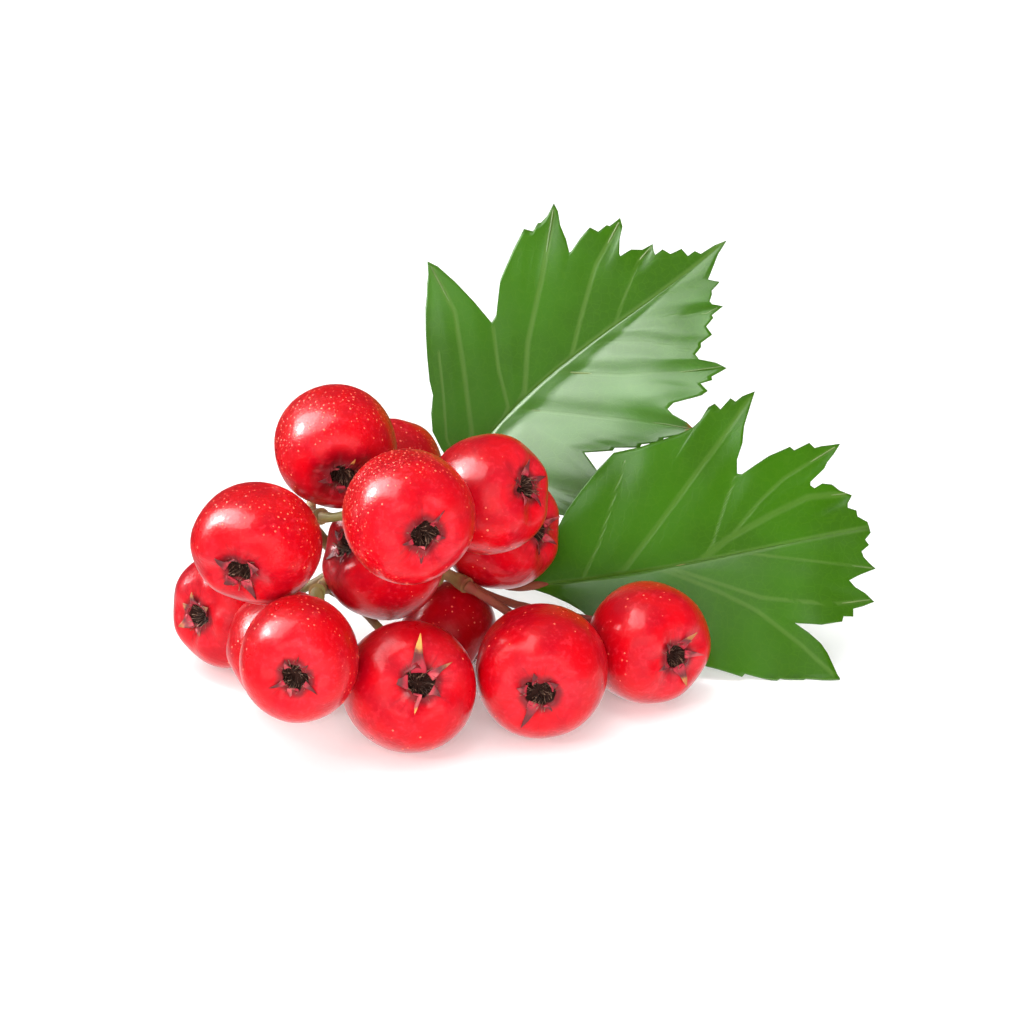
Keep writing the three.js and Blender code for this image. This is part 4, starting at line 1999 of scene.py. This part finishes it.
UPPER_LEAF = Leaf(
    name="upper", length=41, bow=1.8, base=(-5.9, 32.3, 15.8),
    along=(0.749, 0.269, 0.605), across=(-0.638, 0.526, 0.563),
    petiole=((-10.6, 27, 10), (-10.1, 28, 12.2), (-9, 31, 13.4)),
    stops=(0, 2.8, 7.5, 10.5, 14, 17.5, 21.5, 25, 30, 41.6),
    halves=(
        HalfBlade(sign=1, fold=13.5, curl=0.7, quilt=0.10, wave=0.10, pale_veins=0.45, shine=0.3, runs=(
            ((-0.2, 1.7), (0.1, 3.7), (0.7, 5.9), (2, 7.6), (3.6, 9.1), (4.4, 10.6), (6.2, 13),
             (8.1, 15.4), (9.8, 17.4), (11.1, 18.6), (11.9, 19.5), (12.7, 20.2), (13.7, 21.5)),
            ((14.2, 20.2), (14.5, 17.5), (14.6, 14.3), (14.5, 10.9)),
            ((15.5, 11.2), (18.6, 13.9), (22.3, 15.7), (24.8, 16.7), (25.4, 15.8), (26.5, 16.2),
             (26.8, 16), (27.9, 16.1), (29.5, 16.7)),
            ((29.2, 15.6), (28.3, 14.2), (27.7, 12.5), (26.9, 11)),
            ((27.3, 11), (29, 11.4), (30.7, 11.6), (31.1, 10.6), (32.4, 10.6), (32.6, 10.3), (34.2, 10.3)),
            ((33.7, 9.3), (32.4, 8.3), (31.2, 7), (31.1, 6.7)),
            ((32.6, 6.5), (33.6, 5.7), (35, 5.5)),
            ((34.5, 4.7), (34.3, 4.2)),
            ((35.4, 4.1), (35.7, 3.1), (37.1, 2.7), (37.1, 1.6), (38.1, 1.5), (38.4, 0.8), (40.3, 0.5),
             (41.7, 0.02)),
        )),
        HalfBlade(sign=-1, fold=8.7, curl=2.0, quilt=0.25, wave=0.13, pale_veins=0.10, shine=1.5, runs=(
            ((1.6, 4.5), (3.4, 8.5), (5.2, 11.8), (6.9, 14.2), (7.5, 14.1), (9.2, 16.6), (9.9, 16.5),
             (11.7, 18.6), (13.9, 19.4)),
            ((13.6, 17.4), (12.6, 14.2), (12, 11), (12.3, 8.3)),
            ((14.9, 10.4), (15.3, 10.3), (17.5, 12.3), (17.9, 12.1), (19.8, 13.5), (20.3, 13.3),
             (22.2, 14.6), (23.6, 15.1)),
            ((23.5, 13.8), (22.9, 12), (22.9, 11.1)),
            ((23.9, 11), (26.9, 12.5), (27.8, 12.6), (27.8, 11.3), (29.1, 11.9), (29.3, 11.5),
             (31.3, 11.9)),
            ((30.8, 10.6), (29.6, 9), (29.7, 8.2)),
            ((30.8, 8), (31.1, 7.6), (32.7, 7.8), (32.9, 6.5), (34.2, 6.3), (34.3, 5.9), (36, 5.9)),
            ((35.2, 5), (35.2, 4.5)),
            ((36, 4), (36.3, 3.6), (37.7, 3.4), (36.9, 2.2), (37.7, 1.8), (39.9, 0.6), (41.7, 0.02)),
        )),
    ),
    veins=(
        Vein(((1.9, 1), (4.2, 2.9), (8.7, 9.4), (12.1, 14.7), (13.6, 20.7)), 0.30),
        Vein(((0.6, 1), (1.3, 4.1), (4.5, 8.2), (7.6, 12.5)), 0.18),
        Vein(((7.7, 1.5), (9.3, 2.2), (11.4, 6.2), (14.3, 10.4)), 0.24),
        Vein(((10, 1.6), (11.9, 2.2), (16.1, 6.3), (22.5, 10.9), (28.9, 16.1)), 0.32),
        Vein(((17.2, 1.3), (18.8, 1.7), (22.6, 4.3), (28.1, 7.8), (33.7, 9.9)), 0.28),
        Vein(((24, 1), (25.5, 1.4), (32.4, 5), (34.6, 5.3)), 0.20),
        Vein(((9.5, 1.7), (10.6, 0.8), (16.5, -6.3), (21.5, -12.1), (23.4, -14.7)), 0.24),
        Vein(((15.9, 1.6), (16.9, 1.2), (21.7, -4.1), (27.5, -9), (30.9, -11.4)), 0.24),
        Vein(((22, 0.9), (23.2, 0.4), (26.3, -2.7), (29.6, -7.4)), 0.20),
        Vein(((27, 0.5), (27.8, 0), (34, -5.3), (35.4, -5.6)), 0.20),
        Vein(((31, 0.4), (32, 0.1), (37.2, -3.1)), 0.16),
        Vein(((2.2, 0.2), (7, -9.5), (13.3, -18.6)), 0.26),
    ),
    scorch=(23.5, -15), seed=3,
)

RIGHT_LEAF = Leaf(
    name="right", length=38.7, bow=-0.6, base=(2.4, 15.5, 8.75),
    along=(0.984, 0.11, 0.136), across=(-0.169, 0.599, 0.783),
    petiole=((-9.15, 25.6, 9.3), (-6.5, 23.8, 9.4), (-2.2, 15, 8)),
    stops=(0, 3, 6.5, 10.5, 16, 20, 23, 25.5, 30, 38.9),
    halves=(
        HalfBlade(sign=1, fold=5.0, curl=1.2, quilt=0.12, wave=0.10, pale_veins=0.35, shine=0.2, runs=(
            ((2.2, 3.6), (4.4, 6.7), (5.3, 7.9), (7.4, 10), (9.7, 12.1), (11.9, 13.8)),
            ((15, 13.8), (17.6, 14.2), (20, 14.6)),
            ((21.4, 15.1), (22.4, 15.8), (23.6, 17.2), (24.4, 17.5), (24.9, 16.7), (26.3, 17.8),
             (26.8, 17.3), (27.7, 17.8), (29.3, 18.2)),
            ((28.6, 16.9), (27.2, 14.2), (26.6, 12.2), (25.6, 10.4), (25.3, 8.8)),
            ((25.8, 8.6), (29.3, 10.2), (31.9, 10.9), (32.3, 10.4), (34.2, 11), (34.7, 10.3),
             (35.5, 10.4), (37.7, 10.3)),
            ((36.7, 9.2), (35.8, 8.4), (35.3, 7.7), (33.4, 6.4), (33.3, 6)),
            ((33.7, 5.6), (34.7, 6), (35.8, 5.7), (36.5, 4.9), (37.8, 4.1)),
            ((37.1, 3.2), (37, 2.7)),
            ((37.9, 2.2), (37.9, 1.5), (38.9, 0.7), (39, 0.02)),
        )),
        HalfBlade(sign=-1, fold=4.0, curl=1.2, quilt=0.10, wave=0.14, pale_veins=0.35, shine=1.3, runs=(
            ((1.6, 1.4), (3.6, 2.8), (5.4, 4.4), (7.2, 7.2), (8.7, 9.8)),
            ((9.8, 9.2), (10.6, 8.2)),
            ((13.5, 10.8), (18.5, 13.2), (21.2, 14.6), (21.6, 14.3), (25, 15.8), (25.4, 15.5),
             (27.9, 16.3), (28.3, 16), (30.2, 16.6), (32, 16.8)),
            ((31.6, 15.2), (31.2, 13.6), (30.7, 12.4), (29.6, 10.9), (28.3, 9.5)),
            ((31.2, 10.3), (33.6, 10.3), (33.9, 9.7), (35, 9.9), (35.2, 9), (36.3, 8.9), (37.7, 8.6)),
            ((36.9, 7.5), (35.9, 6.6), (35.4, 5.7)),
            ((36.6, 5.3), (38.7, 4.8)),
            ((38.1, 4.1), (37.6, 3.3), (37.5, 2.6)),
            ((38.5, 2), (38.2, 1.3), (39, 0.6), (39, 0.02)),
        )),
    ),
    veins=(
        Vein(((18.4, -0.7), (19.8, -0.2), (22.6, 1.4), (28.1, 3.3), (32.7, 4.7), (37.2, 4.4)), 0.40),
        Vein(((9, -0.5), (10.3, -0.2), (16, 5.1), (24.5, 13.3), (28.7, 17.6)), 0.34),
        Vein(((19.4, -0.6), (20.9, 1.1), (23.5, 6), (25, 8.4)), 0.22),
        Vein(((21.4, 0.8), (22.6, 1.2), (27.4, 5.3), (30.6, 7.4), (37, 10)), 0.24),
        Vein(((5.6, -0.3), (8.2, 3.4), (13, 12.6)), 0.22),
        Vein(((14.6, -0.8), (16, -1.5), (20.2, -4.2), (24.3, -7.3), (28.5, -12.1), (31.6, -16.4)), 0.28),
        Vein(((15.6, -0.8), (16.6, -1.2), (25.2, -6), (32.8, -8.1), (37.3, -8.3)), 0.26),
        Vein(((22.9, 0), (23.9, -0.3), (30.5, -2.4), (38.3, -4.7)), 0.20),
        Vein(((3, -0.1), (5.4, -3.4), (8.4, -9)), 0.20),
    ),
    tan_stretch=(0.34, 0.56), tip_curl=0.3, seed=5,
)


@dataclass
class Foliage:
    """Both leaves with their veins and petioles."""

    leaves: tuple[Leaf, ...] = (UPPER_LEAF, RIGHT_LEAF)
    sides: int = 12
    rib_lumps: Pair = (0.00003, 800.0)
    tan_lumps: Pair = (0.00004, 800.0)
    petiole_lumps: Pair = (0.00014, 800.0)

    def build(self, limb_tree: LimbTree) -> None:
        """Makes the blades, midribs, veins and petioles.

        Args:
            limb_tree: Sweeps the lines.
        """
        ribs, tan_ribs, petioles = Lines(), Lines(), Lines()
        for leaf in self.leaves:
            hand_over(leaf.blade(), f"blade_{leaf.name}", LeafBlade(), [f"leaf_{leaf.name}"])
            leaf.midrib_line(ribs)
            leaf.under_veins(ribs)
            if leaf.tan_stretch[1] > 0:
                leaf.midrib_line(tan_ribs, *leaf.tan_stretch)
            leaf.petiole_line(petioles)
        limb_tree.piece(ribs, "leaf_ribs", VeinRib(), self.sides, self.rib_lumps)
        limb_tree.piece(tan_ribs, "tan_midrib", TanRib(), self.sides, self.tan_lumps)
        replaced = [f"petiole_{leaf.name}" for leaf in self.leaves]
        limb_tree.piece(petioles, "leaf_petioles", StalkBark(), self.sides, self.petiole_lumps, replaced)


# ------------------------------------------------------------------------------------ studio


class Seen(Enum):
    """How an area light reaches a surface."""

    MATT = "matt"
    MIRRORED = "mirrored"


@dataclass(frozen=True)
class SoftBox:
    """An area light: its direction and distance in metres from the target, and how bright its face is.

    Its size is in metres, with its long side turned as near as may be to a direction.
    """

    name: str
    toward: Triple
    distance: float
    long_side: Triple
    size: Pair
    radiance: float
    seen: Seen = Seen.MIRRORED


KEY_SIDE = (-0.635, -0.117, 0.763)
KEY_LONG = (-0.80, 0.52, -0.31)


@dataclass
class Studio:
    """The white ground, the soft lights, the world and the camera.

    The skies are how bright the world is, where it lights matt surfaces and where it is mirrored.
    """

    target: Triple = (-1.52, -14.7, 24.0)
    camera_distance: float = 302.5
    elevation: float = 22.0
    lens: float = 100.0
    sensor: float = 36.0
    ground_half: float = 3.0
    sky: float = 0.24
    mirrored_sky: float = 0.06
    boxes: tuple[SoftBox, ...] = (
        SoftBox("key_box", KEY_SIDE, 0.615, KEY_LONG, (0.92, 0.46), 8.6),
        SoftBox("bright_box", (-0.74, 0.06, 0.67), 0.61, (-0.60, 0.40, -0.70), (0.46, 0.38), 9.5),
        SoftBox("core_box", (-0.861, 0.05, 0.506), 0.62, (0.0, 1.0, 0.0), (0.13, 0.14), 62.0),
        SoftBox("soft_key", KEY_SIDE, 0.615, KEY_LONG, (1.0, 0.7), 5.6, Seen.MATT),
        SoftBox("wash", (0.0, 0.25, 0.97), 1.70, (1.0, 0.0, 0.0), (3.2, 3.2), 1.0, Seen.MATT),
        SoftBox("front_wash", (0.03, -0.98, 0.17), 1.10, (1.0, 0.0, 0.0), (1.6, 0.8), 7.6, Seen.MATT),
    )

    def build(self) -> None:
        """Makes the ground, lights, world and camera."""
        self._ground()
        for box in self.boxes:
            self._light(box)
        self._world()
        self._camera()
        bpy.context.scene.view_settings.view_transform = "Standard"
        bpy.context.scene.view_settings.look = "None"

    def _ground(self) -> None:
        """Makes the ground, with a dimmer one in its place for reflections only."""
        half = self.ground_half
        corners = [(-half, -half, 0), (half, -half, 0), (half, half, 0), (-half, half, 0)]
        for finish in (Sweep(), DimSweep()):
            mesh = bpy.data.meshes.new("ground")
            mesh.from_pydata(corners, [], [(0, 1, 2, 3)])
            mesh.materials.append(finish.material())
            ground = bare_object(mesh)
            reflected = isinstance(finish, DimSweep)
            ground.visible_glossy = reflected
            ground.visible_camera = ground.visible_diffuse = ground.visible_shadow = not reflected

    def _light(self, box: SoftBox) -> None:
        """Makes one area light that faces the target.

        Args:
            box: What it is like.
        """
        light = bpy.data.lights.new(box.name, "AREA")
        light.shape = "RECTANGLE"
        light.size, light.size_y = box.size
        light.energy = box.radiance * math.pi * box.size[0] * box.size[1]
        made = bpy.data.objects.new(box.name, light)
        made.visible_glossy = box.seen is Seen.MIRRORED
        made.visible_diffuse = box.seen is Seen.MATT
        bpy.context.scene.collection.objects.link(made)
        toward = Vector(box.toward).normalized()
        side = Vector(box.long_side)
        side = (side - toward * side.dot(toward)).normalized()
        turn = Matrix((side, toward.cross(side), toward)).transposed().to_4x4()
        target = Vector(self.target) * MM
        made.matrix_world = Matrix.Translation(target + toward * box.distance) @ turn

    def _world(self) -> None:
        """Gives the world its plain white."""
        world = bpy.data.worlds.new("white_room")
        world.use_nodes = True
        book = NodeBook(world.node_tree)
        world.node_tree.nodes.clear()
        mirrored = book.value(book.add("ShaderNodeLightPath"), "Is Glossy Ray")
        strength = self.sky - (self.sky - self.mirrored_sky) * mirrored
        white = book.add("ShaderNodeBackground", {}, {"Color": (1, 1, 1, 1), "Strength": strength})
        book.add("ShaderNodeOutputWorld", {}, {"Surface": white.outputs[0]})
        bpy.context.scene.world = world

    def _camera(self) -> None:
        """Makes the camera, level and looking down at the sprig."""
        data = bpy.data.cameras.new("camera")
        data.lens = self.lens
        data.sensor_width = self.sensor
        data.clip_start, data.clip_end = 0.01, 20.0
        made = bpy.data.objects.new("camera", data)
        bpy.context.scene.collection.objects.link(made)
        tilt = math.radians(self.elevation)
        back = Vector((0, -math.cos(tilt), math.sin(tilt)))
        made.location = (Vector(self.target) + back * self.camera_distance) * MM
        made.rotation_euler = Euler((math.pi / 2 - tilt, 0, 0))
        bpy.context.scene.camera = made


def main() -> None:
    """Builds the sprig's sub-assemblies in order, then the studio."""
    logging.basicConfig(level=logging.INFO, format="%(name)s: %(message)s")
    Studio().build()
    limb_tree = LimbTree()
    Framework().build(limb_tree)
    HawCluster().build(limb_tree)
    Foliage().build(limb_tree)


if __name__ == "__main__":
    main()
